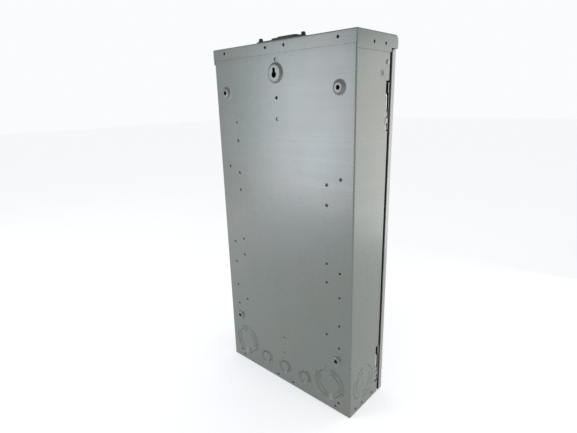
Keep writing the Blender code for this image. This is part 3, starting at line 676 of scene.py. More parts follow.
LIP_SCREWS = [(side * 165.5, z) for z in (60.0, 664.0) for side in (-1, 1)]
print("box", round(2 * HALF, 1), "mm wide,", round(top, 1), "mm tall")

# %% The back of the box
box = bmesh.new()
OUT = (0.0, 1.0, 0.0)
edges = outline(box, [(x, BACK, z) for x, z in (
    (BEND - HALF, bottom), (HALF - BEND, bottom), (HALF - BEND, top), (BEND - HALF, top)
)])
upright = [e for e in edges if abs(e.verts[0].co.z - e.verts[1].co.z) > 1.0]
for x, z in WALL_BOSSES:
    edges += boss(box, (x, BACK, z), OUT, **WALL_BOSS)[0]
foot, face = boss(box, (0.0, BACK, KEYHOLE_Z), OUT, **KEYHOLE_BOSS)
edges += foot
hanger = keyhole(box, (0.0, rear, BULB_Z), BULB_RADIUS, SLOT_RADIUS, SLOT_TOP)
fill_flat(box, face + hanger, OUT)
mirrored = [(side * x, z) for side in (-1, 1) for x, z in PAIRED_HOLES]
for x, z in MIDDLE_HOLES + mirrored + ODD_HOLES:
    edges += dimpled_hole(box, (x, BACK, z), OUT)
for x, z in CAP_REAR_HOLES:
    edges += plain_hole(box, (x, BACK, z), OUT, CAP_HOLE)
for x, z in LARGE_KNOCKOUTS:
    edges += knockout(box, (x, BACK, z), OUT, LARGE_RINGS)
for x, z in SMALL_KNOCKOUTS:
    edges += knockout(box, (x, BACK, z), OUT, SMALL_RINGS, SLUG_LIFT)
fill_flat(box, edges, OUT)
for edge in upright:
    side = math.copysign(1.0, edge.verts[0].co.x)
    fold(box, edge, (side * (HALF - BEND), BACK - BEND), -90.0 * side)
print("back", len(box.faces), "faces")

# %% The two sides
SIDE_HOLES = [(43.0, 10.0), (19.0, 10.0), (-21.0, 10.0)]
PLUG = (-17.0, 685.0)
PLUG_RADIUS = 6.6
PLUG_STEPS = [(5.2, -0.3), (4.2, -1.3), (2.6, -1.3), (1.8, -0.6)]


def stepped(low_to_high, plain, cut):
    """Heights up one edge, with the value at each: plain, or cut inside a hinge notch."""
    points = []
    for low, high in low_to_high:
        points += [(plain, low), (cut, low), (cut, high), (plain, high)]
    return points


for side in (-1, 1):
    x = side * HALF
    away = (float(side), 0.0, 0.0)
    gaps = notches if side < 0 else []
    front_edge = [(front + BEND, bottom)] + stepped(gaps, front + BEND, NOTCH_BACK) + [(front + BEND, top)]
    corners = [(x, y, z) for y, z in front_edge + [(BACK - BEND, top), (BACK - BEND, bottom)]]
    edges = outline(box, corners)
    folds = [e for e in edges if all(abs(v.co.y - front - BEND) < 0.01 for v in e.verts)]
    for y, z in SIDE_HOLES:
        edges += dimpled_hole(box, (x, y, z), away)
    edges += plain_hole(box, (x, *RAIL_SCREW), away, SCREW_HOLE)
    for y, z in CAP_SIDE_HOLES:
        edges += plain_hole(box, (x, y, z), away, CAP_HOLE)
    edges += knockout(box, (x, *SIDE_KNOCKOUT), away, SIDE_RINGS)
    plug = ring(box, (x, *PLUG), PLUG_RADIUS, away)
    cup = press(box, plug, (x, *PLUG), away, PLUG_STEPS)
    bmesh.ops.contextual_create(box, geom=cup[-1])
    fill_flat(box, edges + plug, away)
    for edge in folds:
        fold(box, edge, (side * (HALF - BEND), front + BEND), -90.0 * side)
print("sides", len(box.faces), "faces")

# %% The front lips, and the finished box
FORWARD = (0.0, -1.0, 0.0)
for side in (-1, 1):
    outer, inner = side * (HALF - BEND), side * (HALF - LIP)
    gaps = notches if side < 0 else []
    outer_edge = [(outer, bottom)] + stepped(gaps, outer, NOTCH_SIDE) + [(outer, top)]
    edges = outline(box, [(x, front, z) for x, z in outer_edge + [(inner, top), (inner, bottom)]])
    for x, z in LIP_SCREWS:
        if x * side > 0:
            edges += plain_hole(box, (x, front, z), FORWARD, SCREW_HOLE)
    fill_flat(box, edges, FORWARD)
thicken(box, SHEET, (0.0, 10.0, 300.0))
press_grooves(box)
piece("folded_box", box, grey_enamel, "box_wrap")

# %% [markdown]
# ## Dark plugs and rivets
# Dark plated rods fill the paired holes as painted shade: they stand in for the shade inside the holes.
# Painted rivets close the holes that were only needed while the box was being welded.

# %% Fill the holes
TIP_RADIUS = 2.5
TIP_SPAN = (BACK - 5.0, BACK - 1.4)


def tips(name, places, finish):
    """Rods that end just below the back of the box, with rounded ends."""
    bm = bmesh.new()
    for place in places:
        verts = add_rod(bm, TIP_RADIUS, TIP_SPAN, place, "Y", steps=HOLE_STEPS)
        round_off(bm, rim_at(verts, "Y", TIP_SPAN[1]), 0.7, 2)
    piece(name, bm, finish)


# The dark rods in the paired holes are painted shade, standing in for the shade inside them.
tips("shade_plugs_in_holes", mirrored + ODD_HOLES[1:], black_zinc)
tips("rivet_tips", MIDDLE_HOLES[:1] + MIDDLE_HOLES[2:] + ODD_HOLES[:1], grey_enamel)

# %% [markdown]
# ## The rain cap
# The cap is a shallow lid. It laps over the back and sides, and its front runs out into a hood that throws
# water clear of the door. A cube without its underside is rounded first, and then thickened inwards.


# %% A folded tray
def tray(x, y, z, open_side, thickness, radius, front_top=None):
    """A box without one side, with its folds rounded and its thickness inside."""
    bm = bmesh.new()
    add_block(bm, x, y, z)
    bm.normal_update()
    gone = [face for face in bm.faces if face.normal.dot(Vector(open_side)) > 0.9]
    bmesh.ops.delete(bm, geom=gone, context="FACES_ONLY")
    if front_top:
        edge = max(bm.edges, key=lambda e: sum(v.co.z - v.co.y for v in e.verts))
        round_off(bm, [edge], front_top, 9)
    bm.normal_update()
    round_off(bm, sharp(bm.edges, 20.0), radius, 5)
    middle = [sum(span) / 2 for span in (x, y, z)]
    return thicken(bm, thickness, middle)


# %% Make the rain cap
(cap_left, cap_right), (hood, cap_rear), (cap_edge, cap_top) = spans("rain_cap")
CAP_REAR_EDGE = 728.0
HOOD_EDGE = 727.0
HOOD_CUT = front + 0.7
HOOD_BEND = 10.0
HUB = (3.0, 3.5)
HUB_HOLE = 38.0
HUB_REACH = (55.0, 39.5)
CLEARANCE = 2.6
hub_screws = [(HUB[0] + sx * HUB_REACH[0], HUB[1] + sy * HUB_REACH[1]) for sy in (-1, 1) for sx in (-1, 1)]

cap = tray(*spans("rain_cap"), (0, 0, -1), SHEET, 2.2, front_top=HOOD_BEND)
trim = bmesh.new()
beyond = past(cap_left, cap_right)
add_block(trim, beyond, (BACK, cap_rear + PAST), (cap_edge - PAST, CAP_REAR_EDGE))
add_block(trim, beyond, (hood - PAST, HOOD_CUT), (cap_edge - PAST, HOOD_EDGE))
cap = combine(cap, trim)
cap = drill(cap, HUB_HOLE, past(cap_top, cap_top), [HUB], "Z", steps=64)
cap = drill(cap, CLEARANCE, past(cap_top, cap_top), hub_screws, "Z")
cap = drill(cap, CAP_HOLE, past(cap_rear, cap_rear), CAP_REAR_HOLES, "Y")
for x in (cap_left, cap_right):
    cap = drill(cap, CAP_HOLE, past(x, x), CAP_SIDE_HOLES, "X")
piece("rain_cap_folded", cap, grey_enamel, "rain_cap")

# %% [markdown]
# ## The door
# The door is a shallow tray like the cap. Its face has a pressed field, which stiffens a large flat sheet,
# and a hole for the latch. Two inset operations make the field before the tray gets its thickness.

# %% Make the door
door_x, (door_face, door_edge), door_z = spans("door")
latch_x, (knob_front, knob_back), latch_z = spans("latch_knob")
LATCH = (sum(latch_x) / 2, sum(latch_z) / 2)
LATCH_HOLE = 5.4
FIELD_MARGIN = 42.0
FIELD_SLOPE = 3.0
FIELD_DEPTH = 1.0
HEM = 1.0

door = bmesh.new()
add_block(door, door_x, (door_face, door_edge - HEM), door_z)
door.normal_update()
open_back = [face for face in door.faces if face.normal.y > 0.9]
bmesh.ops.delete(door, geom=open_back, context="FACES_ONLY")
round_off(door, sharp(door.edges), 2.2, 5)
field = [max(door.faces, key=lambda face: face.calc_area())]
bmesh.ops.inset_region(door, faces=field, thickness=FIELD_MARGIN, use_even_offset=True)
bmesh.ops.inset_region(door, faces=field, thickness=FIELD_SLOPE, depth=-FIELD_DEPTH, use_even_offset=True)
thicken(door, SHEET, (0.0, 0.0, 350.0))
door = drill(door, LATCH_HOLE, past(door_face, door_face), [LATCH], "Y", steps=40)
piece("folded_door", door, door_enamel, "door", body="door")

# %% [markdown]
# ## Hub closure
# A moulded plate and a rubber gasket close the hole where a conduit hub could be fitted. The plate is a
# block with rounded corners, and its raised middle is stepped, which stiffens it.

# %% Make the hub closure
hub_x, hub_y, gasket_z = spans("hub_gasket")
_, _, (plate_low, dome_top) = spans("hub_closure_plate")
PLATE_TOP = gasket_z[1] + 3.0
STEP_TOP = dome_top - 3.0
STEP_IN = 9.0
DOME = ((hub_x[0] + 22.0, hub_x[1] - 34.0), (hub_y[0] + 8.0, hub_y[1] - 4.0))
CORNERS = ("Z", 7.0)

gasket = rounded_block(hub_x, hub_y, gasket_z, 0.3, corners=CORNERS)
gasket = drill(gasket, HUB_HOLE, past(*gasket_z), [HUB], "Z", steps=64)
gasket = drill(gasket, CLEARANCE, past(*gasket_z), hub_screws, "Z")
piece("moulded_gasket", gasket, gasket_rubber, "hub_gasket")

plate = rounded_block(hub_x, hub_y, (plate_low, PLATE_TOP), 0.9, corners=CORNERS)
lower_step = rounded_block(*DOME, (plate_low + 1.0, STEP_TOP), 1.4, corners=("Z", 12.0))
inner = [(low + STEP_IN, high - STEP_IN) for low, high in DOME]
upper_step = rounded_block(*inner, (STEP_TOP - 2.0, dome_top), 1.2, corners=("Z", 9.0))
plate = join(plate, lower_step, upper_step)
plate = drill(plate, CLEARANCE, past(plate_low, dome_top), hub_screws, "Z")
piece("moulded_hub_plate", plate, black_plastic, "hub_closure_plate")

# %% [markdown]
# ## Screws
# Every screw on the box is plated and slotted, with a domed head on a thin flange. One function turns a
# head by stacking rods, rounds its rim, cuts the slot and points it along any axis.


# %% A slotted screw
HEAD_SHARE = 0.86
SLOT_SHARE = 0.13
SLOT_TURN = math.radians(35.0)


def slotted_screw(name, node, axis, sign, head_sizes, finish=zinc, sides=32):
    """A screw that stands for a plain one; its sizes are its radius, its height and its shank's radius."""
    radius, height, shank = head_sizes
    sizes = spans(node)
    index = "XYZ".index(axis)
    low, high = sizes[index]
    seat, end = (high - height, low) if sign > 0 else (low + height, high)
    top = seat + sign * height
    flange = sign * 0.25 * height
    middle = [sum(span) / 2 for span in sizes]
    across = [number for number in range(3) if number != index]
    others = [middle[number] for number in across]

    screw = rounded_rod(radius, (seat, seat + flange), others, axis, 0.12 * height)
    head = bmesh.new()
    verts = add_rod(head, radius * HEAD_SHARE, (seat + flange * 0.5, top), others, axis, steps=sides)
    round_off(head, rim_at(verts, axis, top), 0.28 * height, 4)
    slot = bmesh.new()
    reach = [(seat + sign * height * 0.55, seat + sign * (height + 1.0))] * 3
    for number, half in zip(across, (radius, radius * SLOT_SHARE)):
        reach[number] = (middle[number] - half, middle[number] + half)
    add_block(slot, *reach)
    bmesh.ops.rotate(slot, verts=slot.verts, cent=middle, matrix=Matrix.Rotation(SLOT_TURN, 3, axis))
    screw = combine(join(screw, head), slot)
    stem = bmesh.new()
    verts = add_rod(stem, shank, (end, seat + flange * 0.5), others, axis, steps=20)
    round_off(stem, rim_at(verts, axis, end), 0.4, 2)
    screw = join(screw, stem)
    bmesh.ops.recalc_face_normals(screw, faces=screw.faces)
    piece(name, screw, finish, node)


# %% Turn every screw
HUB_HEAD = (5.0, 6.5, 2.2)
COVER_HEAD = (4.5, 2.6, 2.0)
SIDE_HEAD = (4.2, 1.5, 2.0)
for number in range(1, 5):
    slotted_screw(f"hub_plate_screw_{number}", f"hub_screw_{number}", "Z", 1, HUB_HEAD, black_zinc, 6)
    slotted_screw(f"inner_cover_screw_{number}", f"deadfront_screw_{number}", "Y", -1, COVER_HEAD)
for side, sign in (("left", -1), ("right", 1)):
    slotted_screw("side_screw_" + side, "rail_screw_" + side, "X", sign, SIDE_HEAD, hinge_zinc)

# %% [markdown]
# ## Hinges
# Each hinge is a bracket welded inside the box, a leaf on the door, and a bent wire pin that lifts out.
# The knuckles are strips curled round the pin, so each is turned as a tube and joined to its plate.

# %% Sizes of a hinge
BOX_KNUCKLES = ((1.5, 9.5), (25.5, 34.0))
DOOR_KNUCKLE = (12.5, 22.5)
KNUCKLE_RADIUS = 3.4
KNUCKLE_BORE = 2.35
ROUGH_BORE = 1.0
BRACKET_X = (-HALF + SHEET + 0.3, -HALF + 2 * SHEET + 0.3)
LEAF_X = (HINGE_X - KNUCKLE_RADIUS + 0.4, HINGE_X - KNUCKLE_RADIUS + 0.4 + SHEET)
LEAF_HEIGHT = 86.0
STOP_HEIGHT = 18.0
WELD_IN = 12.0


def tube(low, high):
    """A knuckle: a square profile spun once round the hinge's axis, with its rims rounded."""
    bm = bmesh.new()
    corners = [(KNUCKLE_RADIUS, low), (KNUCKLE_RADIUS, high), (ROUGH_BORE, high), (ROUGH_BORE, low)]
    loop = outline(bm, [(HINGE_X + r, HINGE_Y, z) for r, z in corners])
    bmesh.ops.spin(
        bm, geom=list(bm.verts) + loop, cent=(HINGE_X, HINGE_Y, 0.0), axis=(0, 0, 1), angle=math.tau,
        steps=32, use_merge=True,
    )
    bmesh.ops.remove_doubles(bm, verts=bm.verts, dist=0.001)
    bmesh.ops.recalc_face_normals(bm, faces=bm.faces)
    round_off(bm, sharp(bm.edges, 60.0), 0.3, 2)
    return bm


def knuckled(plate, x, y, base, knuckles):
    """A plate with an arm and a tube for each knuckle, all bored through together."""
    for low, high in knuckles:
        span = (base + low, base + high)
        plate = join(plate, rounded_block(x, y, span, 0.3), tube(*span))
    bore = (base - 20.0, base + 60.0)
    return drill(plate, KNUCKLE_BORE, bore, [(HINGE_X, HINGE_Y)], "Z", steps=32)


# %% Make the brackets and leaves
for where, base in HINGE_BASES.items():
    _, (_, plate_back), (low, high) = spans("hinge_bracket_" + where)
    bracket = rounded_block(BRACKET_X, (NOTCH_BACK + 1.0, plate_back), (low, high), 0.35, corners=("X", 3.0))
    bracket = knuckled(bracket, BRACKET_X, (HINGE_Y, NOTCH_BACK + 4.0), base, BOX_KNUCKLES)
    for height in (low + 10.0, high - 10.0):
        weld = bmesh.new()
        span = (BRACKET_X[0] + 0.6, BRACKET_X[1] + 0.4)
        add_rod(weld, 3.0, span, (plate_back - WELD_IN, height), "X", tip=2.2)
        bracket = join(bracket, weld)
    piece("curled_bracket_" + where, bracket, hinge_zinc, "hinge_bracket_" + where)

    (_, foot_right), (foot_front, _), _ = spans("hinge_leaf_" + where)
    top_z = base + LEAF_HEIGHT
    foot_y = (foot_front, foot_front + SHEET)
    leaf = rounded_block(LEAF_X, (foot_front + 0.5, HINGE_Y - 5.0), (base, top_z), 0.35)
    stop = rounded_block(LEAF_X, (HINGE_Y - 8.0, HINGE_Y - 2.4), (top_z - STOP_HEIGHT, top_z), 0.35)
    strap = rounded_block((LEAF_X[0] + 0.5, foot_right), foot_y, (base + 1.0, top_z - 1.0), 0.3)
    leaf = join(leaf, stop, strap)
    leaf = knuckled(leaf, LEAF_X, (HINGE_Y - 8.0, HINGE_Y), base, [DOOR_KNUCKLE])
    piece("curled_leaf_" + where, leaf, hinge_zinc, "hinge_leaf_" + where, body="door")

# %% [markdown]
# ## Hinge pins
# A pin is one wire: straight through the knuckles, bent over at the top and brought down again as a loop
# to pull. A round section is extruded, spun half a turn for the bend, and extruded down.

# %% Bend the pins
PIN_RADIUS = 2.0
PIN_END = 38.3


def pull(bm, edges, by):
    """Extrude edges and move what was made, which is returned as its vertices."""
    verts = verts_in(bmesh.ops.extrude_edge_only(bm, edges=edges)["geom"])
    bmesh.ops.translate(bm, vec=by, verts=verts)
    return verts


for where, base in HINGE_BASES.items():
    _, pin_y, (pin_low, pin_high) = spans("hinge_pin_" + where)
    gap = pin_y[1] - pin_y[0] - 2 * PIN_RADIUS
    bend_z = pin_high - PIN_RADIUS - gap / 2
    wire = bmesh.new()
    start = ring(wire, (HINGE_X, HINGE_Y, pin_low), PIN_RADIUS, (0, 0, 1), 20)
    verts = pull(wire, start, (0, 0, bend_z - pin_low))
    bent = bmesh.ops.spin(
        wire, geom=verts + edges_of(verts), cent=(HINGE_X, HINGE_Y + gap / 2, bend_z), axis=(1, 0, 0),
        angle=-math.pi, steps=14,
    )
    turned = edges_of(verts_in(bent["geom_last"]))
    verts = pull(wire, turned, (0, 0, base + PIN_END - bend_z))
    for end in (start, edges_of(verts)):
        bmesh.ops.contextual_create(wire, geom=end)
    bmesh.ops.recalc_face_normals(wire, faces=wire.faces)
    round_off(wire, sharp(wire.edges, 60.0), 0.8, 3)
    piece("bent_wire_pin_" + where, wire, zinc, "hinge_pin_" + where, body="pin_" + where)

# %% [markdown]
# ## Latch knob
# The knob is a bar to turn with the fingers, on a round skirt. Notches along the bar give grip. The shaft
# passes through the door to the cam behind it.

# %% Make the knob
SKIRT_RADIUS = 10.5
SHAFT_RADIUS = 4.9
NOTCHES = [LATCH[1] + side * (6.0 + number * 3.4) for side in (-1, 1) for number in range(4)]
seat = door_face - 0.3
skirt = rounded_rod(SKIRT_RADIUS, (seat - 2.6, seat), LATCH, "Y", 0.7, 3, steps=48)
bar = rounded_block(latch_x, (knob_front, seat - 0.3), latch_z, 1.3, corners=("Y", 4.5))
knob = join(skirt, bar)
for z in NOTCHES:
    knob = drill(knob, 0.7, (knob_front - 1.0, seat - 2.9), [(x, z) for x in latch_x], "Y", steps=12)
shaft = bmesh.new()
add_rod(shaft, SHAFT_RADIUS, (seat - 1.2, knob_back), LATCH, "Y")
piece("turned_latch_knob", join(knob, shaft), black_plastic, "latch_knob", body="latch")

# %% [markdown]
# ## Dressing a plain solid
# Stampings and castings that already have their true shape need only a broken edge. A copy of the solid is
# merged, its flat faces are joined up, and its sharp edges are rounded by a few tenths of a millimetre.


# %% Break the edges of a solid
def dressed(name, node, finish, width, body="box"):
    """A copy of a node with its edges rounded; the node itself is left alone and hidden."""
    bm = bmesh.new()
    bm.from_mesh(frame["nodes"][node].data)
    bmesh.ops.scale(bm, vec=(1 / MM, 1 / MM, 1 / MM), verts=bm.verts)
    bmesh.ops.remove_doubles(bm, verts=bm.verts, dist=0.01)
    bmesh.ops.dissolve_limit(bm, angle_limit=math.radians(1.0), verts=bm.verts, edges=bm.edges)
    bm.normal_update()
    round_off(bm, sharp(bm.edges, 50.0), width, 2)
    piece("dressed_" + name, bm, finish, node, body=body)


dressed("cam", "latch_cam", zinc, 0.4, body="latch")
dressed("keeper", "latch_keeper", zinc, 0.3)
dressed("top_rail", "top_rail", grey_enamel, 0.3)
dressed("pan", "interior_pan", galvanised, 0.3)
dressed("base", "moulded_base", base_plastic, 0.5)
dressed("strap", "neutral_strap", tin, 0.4)
for label in "ab":
    dressed("bus_" + label, "bus_bar_" + label, tin, 0.25)
dressed("neutral_lug", "neutral_lug", aluminium, 0.8)
for side in ("left", "right"):
    for name, width in (("line_lug_", 0.8), ("neutral_bar_", 0.5), ("ground_bar_", 0.5)):
        dressed(name + side, name + side, aluminium, width)

# %% [markdown]
# ## Terminal screws
# Each wire hole in a terminal bar has a slotted screw above it that clamps the wire, and each lug has one
# hexagon socket screw. They are small and many, so a bar's screws are made together as one piece.


# %% Screws along the bars and in the lugs
TERMINAL_PITCH = 20.0
TERMINAL_RADIUS = 3.4
TERMINAL_HEIGHT = 2.4
SOCKET_RADIUS = 4.3
SOCKET_HEIGHT = 1.5


def slotted_row(name, node):
    """One piece with a slotted screw head over every wire hole of a bar."""
    bar_x, (bar_front, _), (low, high) = spans(node)
    heads, slots = bmesh.new(), bmesh.new()
    x = sum(bar_x) / 2
    top = bar_front - TERMINAL_HEIGHT
    for number in range(int((high - low) // TERMINAL_PITCH)):
        z = low + TERMINAL_PITCH * (number + 0.5)
        verts = add_rod(heads, TERMINAL_RADIUS, (top, bar_front - 0.05), (x, z), "Y", steps=20)
        round_off(heads, rim_at(verts, "Y", top), 0.6, 2)
        tilt = 25.0 * math.sin(number * 2.3)
        block = add_block(slots, (x - 4.0, x + 4.0), (bar_front - 3.5, bar_front - 1.3), (z - 0.5, z + 0.5))
        turn = Matrix.Rotation(math.radians(tilt), 3, "Y")
        bmesh.ops.rotate(slots, verts=block, cent=(x, bar_front, z), matrix=turn)
    piece(name, combine(heads, slots), zinc)


def socket_screw(name, node):
    """A hexagon socket screw sunk in the front of a lug."""
    lug_x, (lug_front, _), lug_z = spans(node)
    middle = (sum(lug_x) / 2, sum(lug_z) / 2)
    top = lug_front - SOCKET_HEIGHT
    screw = bmesh.new()
    verts = add_rod(screw, SOCKET_RADIUS, (top, lug_front + 4.5), middle, "Y", steps=32)
    round_off(screw, rim_at(verts, "Y", top), 0.5, 2)
    piece(name, drill(screw, 2.5, (lug_front - 3.0, lug_front + 1.5), [middle], "Y", steps=6), zinc)


for side in ("left", "right"):
    slotted_row("neutral_bar_screws_" + side, "neutral_bar_" + side)
    slotted_row("ground_bar_screws_" + side, "ground_bar_" + side)
    socket_screw("line_lug_screw_" + side, "line_lug_" + side)
socket_screw("neutral_lug_screw", "neutral_lug")

# %% [markdown]
# ## The bottom end
# The end wall is a tray riveted inside the box. Its floor has knockouts for conduit, made in the same way
# as those in the back.

# %% Make the bottom end
(end_left, end_right), (end_front, end_back), (end_low, end_high) = spans("bottom_endwall")
end_middle = (end_front + end_back) / 2
MEDIUM_RINGS = (22.0, 17.0)
END_KNOCKOUTS = [
    (-95.0, 0.0, LARGE_RINGS),
    (95.0, 0.0, LARGE_RINGS),
    (0.0, 20.0, MEDIUM_RINGS),
    (-26.0, -28.0, SMALL_RINGS),
    (26.0, -28.0, SMALL_RINGS),
]
DOWN = (0.0, 0.0, -1.0)

wall = bmesh.new()
rectangle = [(end_left, end_front), (end_right, end_front), (end_right, end_back), (end_left, end_back)]
rim = outline(wall, [(x, y, end_low) for x, y in rectangle])
edges = list(rim)
for x, y, radii in END_KNOCKOUTS:
    edges += knockout(wall, (x, end_middle + y, end_low), DOWN, radii)
fill_flat(wall, edges, DOWN)
pull(wall, rim, (0.0, 0.0, end_high - end_low))
bmesh.ops.recalc_face_normals(wall, faces=wall.faces)
thicken(wall, SHEET, (0.0, end_middle, 8.0))
press_grooves(wall)
piece("pressed_bottom_end", wall, grey_enamel, "bottom_endwall")

# %% [markdown]
# ## The inner cover
# The cover over the live parts is a shallow painted tray. Two windows let the breakers through, one lets
# the main breaker through, and plates of moulded plastic close the spaces that have no breaker yet.

# %% Make the inner cover
cover_box = spans("deadfront")
through = past(cover_box[1][0], cover_box[1][0])
PITCH = 25.4
SPACES_BOTTOM = 196.0
SPACES = 10
WINDOW = (20.0, 68.0)
WINDOW_GAP = 0.4
MAIN_Z = 550.0
MAIN_WINDOW = (31.5, 36.5)
COVER_SHEET = 1.2

cover = tray(*cover_box, (0, 1, 0), COVER_SHEET, 1.6)
windows = bmesh.new()
window_z = (SPACES_BOTTOM - WINDOW_GAP, SPACES_BOTTOM + PITCH * SPACES + WINDOW_GAP)
for side in (-1, 1):
    add_block(windows, (side * WINDOW[0], side * WINDOW[1]), through, window_z)
half_x, half_z = MAIN_WINDOW
add_block(windows, (-half_x, half_x), through, (MAIN_Z - half_z, MAIN_Z + half_z))
cover = drill(combine(cover, windows), CLEARANCE, through, LIP_SCREWS, "Y")
piece("pressed_inner_cover", cover, door_enamel, "deadfront")

# %% Make the filler plates
for side in ("left", "right"):
    filler_x, (filler_front, filler_back), (low, high) = spans("filler_plate_" + side)
    filler = rounded_block(filler_x, (filler_front + 0.5, filler_back), (low, high), 0.3)
    pad_x = (filler_x[0] + 2.0, filler_x[1] - 2.0)
    pad_y = (filler_front, filler_back)
    for number in range(round((high - low) / PITCH)):
        foot = low + PITCH * number + 1.0
        pad_z = (foot, foot + PITCH - 2.2)
        filler = join(filler, rounded_block(pad_x, pad_y, pad_z, 0.4, corners=("Y", 1.5)))
    piece("moulded_filler_" + side, filler, black_plastic, "filler_plate_" + side)

# %% [markdown]
# ## Breakers
# A breaker's case is two halves riveted together, and the seam between them is plain to see. Each half is
# an outline extruded and rounded on its own, so where they meet the two roundings make the seam.

# %% Parts of a breaker
CASE_OUTLINE = (
    (3.0, 18.0), (16.5, 18.0), (16.5, 24.0), (79.5, 24.0), (79.5, 20.8), (75.2, 20.8), (75.2, 16.7),
    (79.5, 16.7), (79.5, -24.0), (68.5, -34.0), (66.0, -34.0), (66.0, -48.5), (22.0, -48.5),
    (22.0, -33.0), (3.0, -32.5),
)
POCKET = {"half_x": 15.0, "y": (-60.0, -17.5), "half_z": 5.5}
HANDLE_PIVOT = (44.0, -33.0)
HANDLE_TILT = math.radians(18.0)


def extruded(points, low, high):
    """An outline in x and y, filled and extruded upwards, with its normals facing out."""
    bm = bmesh.new()
    edges = outline(bm, [(x, y, low) for x, y in points])
    face = bmesh.ops.contextual_create(bm, geom=edges)["faces"]
    made = bmesh.ops.extrude_face_region(bm, geom=face, use_keep_orig=True)["geom"]
    bmesh.ops.translate(bm, vec=(0.0, 0.0, high - low), verts=verts_in(made))
    bmesh.ops.recalc_face_normals(bm, faces=bm.faces)
    return bm


def hollow(case, x, z, half_x, y, half_z):
    """Cut a pocket for a handle round x and z."""
    pocket = bmesh.new()
    add_block(pocket, (x - half_x, x + half_x), y, (z - half_z, z + half_z))
    return combine(case, pocket)


def ribbed_handle(lever, ridge, heights, tilt, saddle, axis, place):
    """A lever with ridges to grip, tilted about its pivot, on a round saddle; all moved to its place."""
    handle = rounded_block(*lever)
    x, half, z, width = ridge
    for height in heights:
        handle = join(handle, rounded_block(x, (height - half, height + half), z, width))
    turn = Matrix.Rotation(tilt, 3, axis)
    bmesh.ops.rotate(handle, verts=handle.verts, cent=(0, 0, 0), matrix=turn)
    radius, reach, width = saddle
    handle = join(handle, rounded_rod(radius, (-reach, reach), (0.0, 0.0), axis, width, steps=64))
    bmesh.ops.translate(handle, vec=place, verts=handle.verts)
    return handle


# %% Make the breaker cases and handles
LEVER = ((-2.5, 2.5), (-25.0, -2.0), (-4.6, 4.6), 0.8)
RIDGE = ((-3.0, 3.0), 0.4, (-4.4, 4.4), 0.25)
RIDGE_HEIGHTS = (-22.5, -20.5, -18.5)
SADDLE = (14.5, 4.8, 0.4)
for number in range(1, 9):
    side = -1 if number % 2 else 1
    low, high = spans(f"breaker_case_{number}")[2]
    seam = (low + high) / 2
    points = [(side * x, y) for x, y in CASE_OUTLINE]
    case = bmesh.new()
    for span in ((low, seam), (seam, high)):
        half = extruded(points, *span)
        round_off(half, sharp(half.edges, 25.0), 0.45, 2)
        mesh = bpy.data.meshes.new("half")
        half.to_mesh(mesh)
        case.from_mesh(mesh)
        bpy.data.meshes.remove(mesh)
    pivot_x = side * HANDLE_PIVOT[0]
    case = hollow(case, pivot_x, seam, **POCKET)
    piece(f"moulded_breaker_case_{number}", case, black_plastic, f"breaker_case_{number}")
    place = (pivot_x, HANDLE_PIVOT[1], seam)
    handle = ribbed_handle(LEVER, RIDGE, RIDGE_HEIGHTS, side * HANDLE_TILT, SADDLE, "Z", place)
    name = f"ribbed_handle_{number}"
    piece(name, handle, handle_plastic, f"breaker_handle_{number}", body=f"handle_{number}")

# %% [markdown]
# ## The main breaker
# The main breaker is made the same way but larger: a body, a nose that fills its window, and one wide
# handle. Four screws hold its cover.

# %% Make the main breaker
MAIN_PIVOT = (0.0, -32.0, MAIN_Z)
BODY_FRONT = -34.0
MAIN_POCKET = {"half_x": 9.5, "y": (-60.0, -14.0), "half_z": 17.0}
COVER_SCREWS = [(sx * 24.0, MAIN_Z + sz * 29.0) for sx in (-1, 1) for sz in (-1, 1)]
VENTS = [number * 8.0 for number in range(-3, 4)]
MAIN_LEVER = ((-8.0, 8.0), (-26.0, -3.0), (-3.5, 3.5), 1.0)
MAIN_RIDGE = ((-7.6, 7.6), 0.5, (-4.0, 4.0), 0.3)
MAIN_HEIGHTS = (-23.5, -21.0, -18.5)
MAIN_SADDLE = (16.0, 8.5, 0.5)

main_x, (nose_front, main_back), main_z = spans("main_breaker_case")
nose_z = (MAIN_Z - 35.0, MAIN_Z + 35.0)
collar_y = (nose_front - 0.8, nose_front + 2.0)
main = join(
    rounded_block(main_x, (BODY_FRONT, main_back), main_z, 1.0),
    rounded_block((-30.0, 30.0), (nose_front, BODY_FRONT + 1.0), nose_z, 1.0),
    rounded_block((-14.0, 14.0), collar_y, (MAIN_Z - 22.0, MAIN_Z + 22.0), 0.5, corners=("Y", 3.0)),
)
main = hollow(main, 0.0, MAIN_Z, **MAIN_POCKET)
main = drill(main, 3.2, (nose_front - 2.0, nose_front + 2.5), COVER_SCREWS, "Y")
vents = bmesh.new()
for x in VENTS:
    add_block(vents, (x - 2.0, x + 2.0), (-20.0, -10.0), (main_z[0] - 2.0, main_z[0] + 3.0))
piece("moulded_main_case", combine(main, vents), black_plastic, "main_breaker_case")
handle = ribbed_handle(MAIN_LEVER, MAIN_RIDGE, MAIN_HEIGHTS, HANDLE_TILT, MAIN_SADDLE, "X", MAIN_PIVOT)
piece("ribbed_main_handle", handle, handle_plastic, "main_breaker_handle", body="main_handle")

# %% [markdown]
# ## Floor and light
# A plain pale floor and a pale surround keep attention on the object. One large soft light behind the box
# gives the sheet its broad sheen, a weaker one lights the door, and a narrow one fills the hinge side.

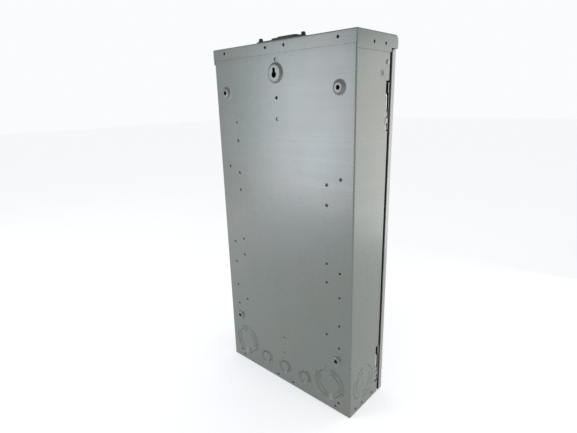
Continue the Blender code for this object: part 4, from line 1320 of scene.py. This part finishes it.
# %% Floor, surround and lights
PALE = (0.97, 0.985, 1.0, 1.0)
WHITE = (1.0, 1.0, 1.0)
FLOOR_SIZE = 12.0
floor_finish = Finish("floor", Roughness=0.95, Emission_Color=PALE, Emission_Strength=0.42)
mottle = floor_finish.noise(3.0, detail=2.0)
floor_finish.colour(floor_finish.blend(mottle, shade(WHITE, 0.86), shade(WHITE, 0.89)))
ground = bmesh.new()
bmesh.ops.create_grid(ground, x_segments=1, y_segments=1, size=FLOOR_SIZE)
floor = holder(ground, "floor")
floor.data.materials.append(floor_finish.material)

world = bpy.data.worlds.new("surround")
bpy.context.scene.world = world
world.use_nodes = True
backdrop = world.node_tree.nodes["Background"]
backdrop.inputs["Color"].default_value = PALE
SURROUND_LIGHT = 0.60
SURROUND_SEEN = 0.98
view_ray = world.node_tree.nodes.new("ShaderNodeLightPath")
seen = world.node_tree.nodes.new("ShaderNodeMapRange")
seen.inputs["To Min"].default_value = SURROUND_LIGHT
seen.inputs["To Max"].default_value = SURROUND_SEEN
world.node_tree.links.new(view_ray.outputs["Is Camera Ray"], seen.inputs["Value"])
world.node_tree.links.new(seen.outputs["Result"], backdrop.inputs["Strength"])
bpy.context.scene.view_settings.view_transform = "Standard"


def soft_light(name, place, aim, size, watts, colour=WHITE):
    """A rectangular light at place, turned towards aim."""
    data = bpy.data.lights.new(name, "AREA")
    data.shape = "RECTANGLE"
    data.size, data.size_y = size
    data.energy = watts
    data.color = colour
    light = bpy.data.objects.new(name, data)
    bpy.context.scene.collection.objects.link(light)
    light.location = place
    light.rotation_mode = "QUATERNION"
    light.rotation_quaternion = (Vector(aim) - Vector(place)).to_track_quat("-Z", "Y")


soft_light("sheen", (0.92, 1.3, 0.52), (0.92, 0.0, 0.52), (0.72, 0.94), 9.7, (0.96, 0.98, 1.14))
soft_light("panel", (-0.78, -1.0, 0.45), (-0.78, 0.0, 0.45), (0.7, 0.9), 3.4)
soft_light("edge", (-1.1, -0.05, 0.6), (-0.18, 0.0, 0.5), (0.25, 0.9), 2.0)
print("stage set")
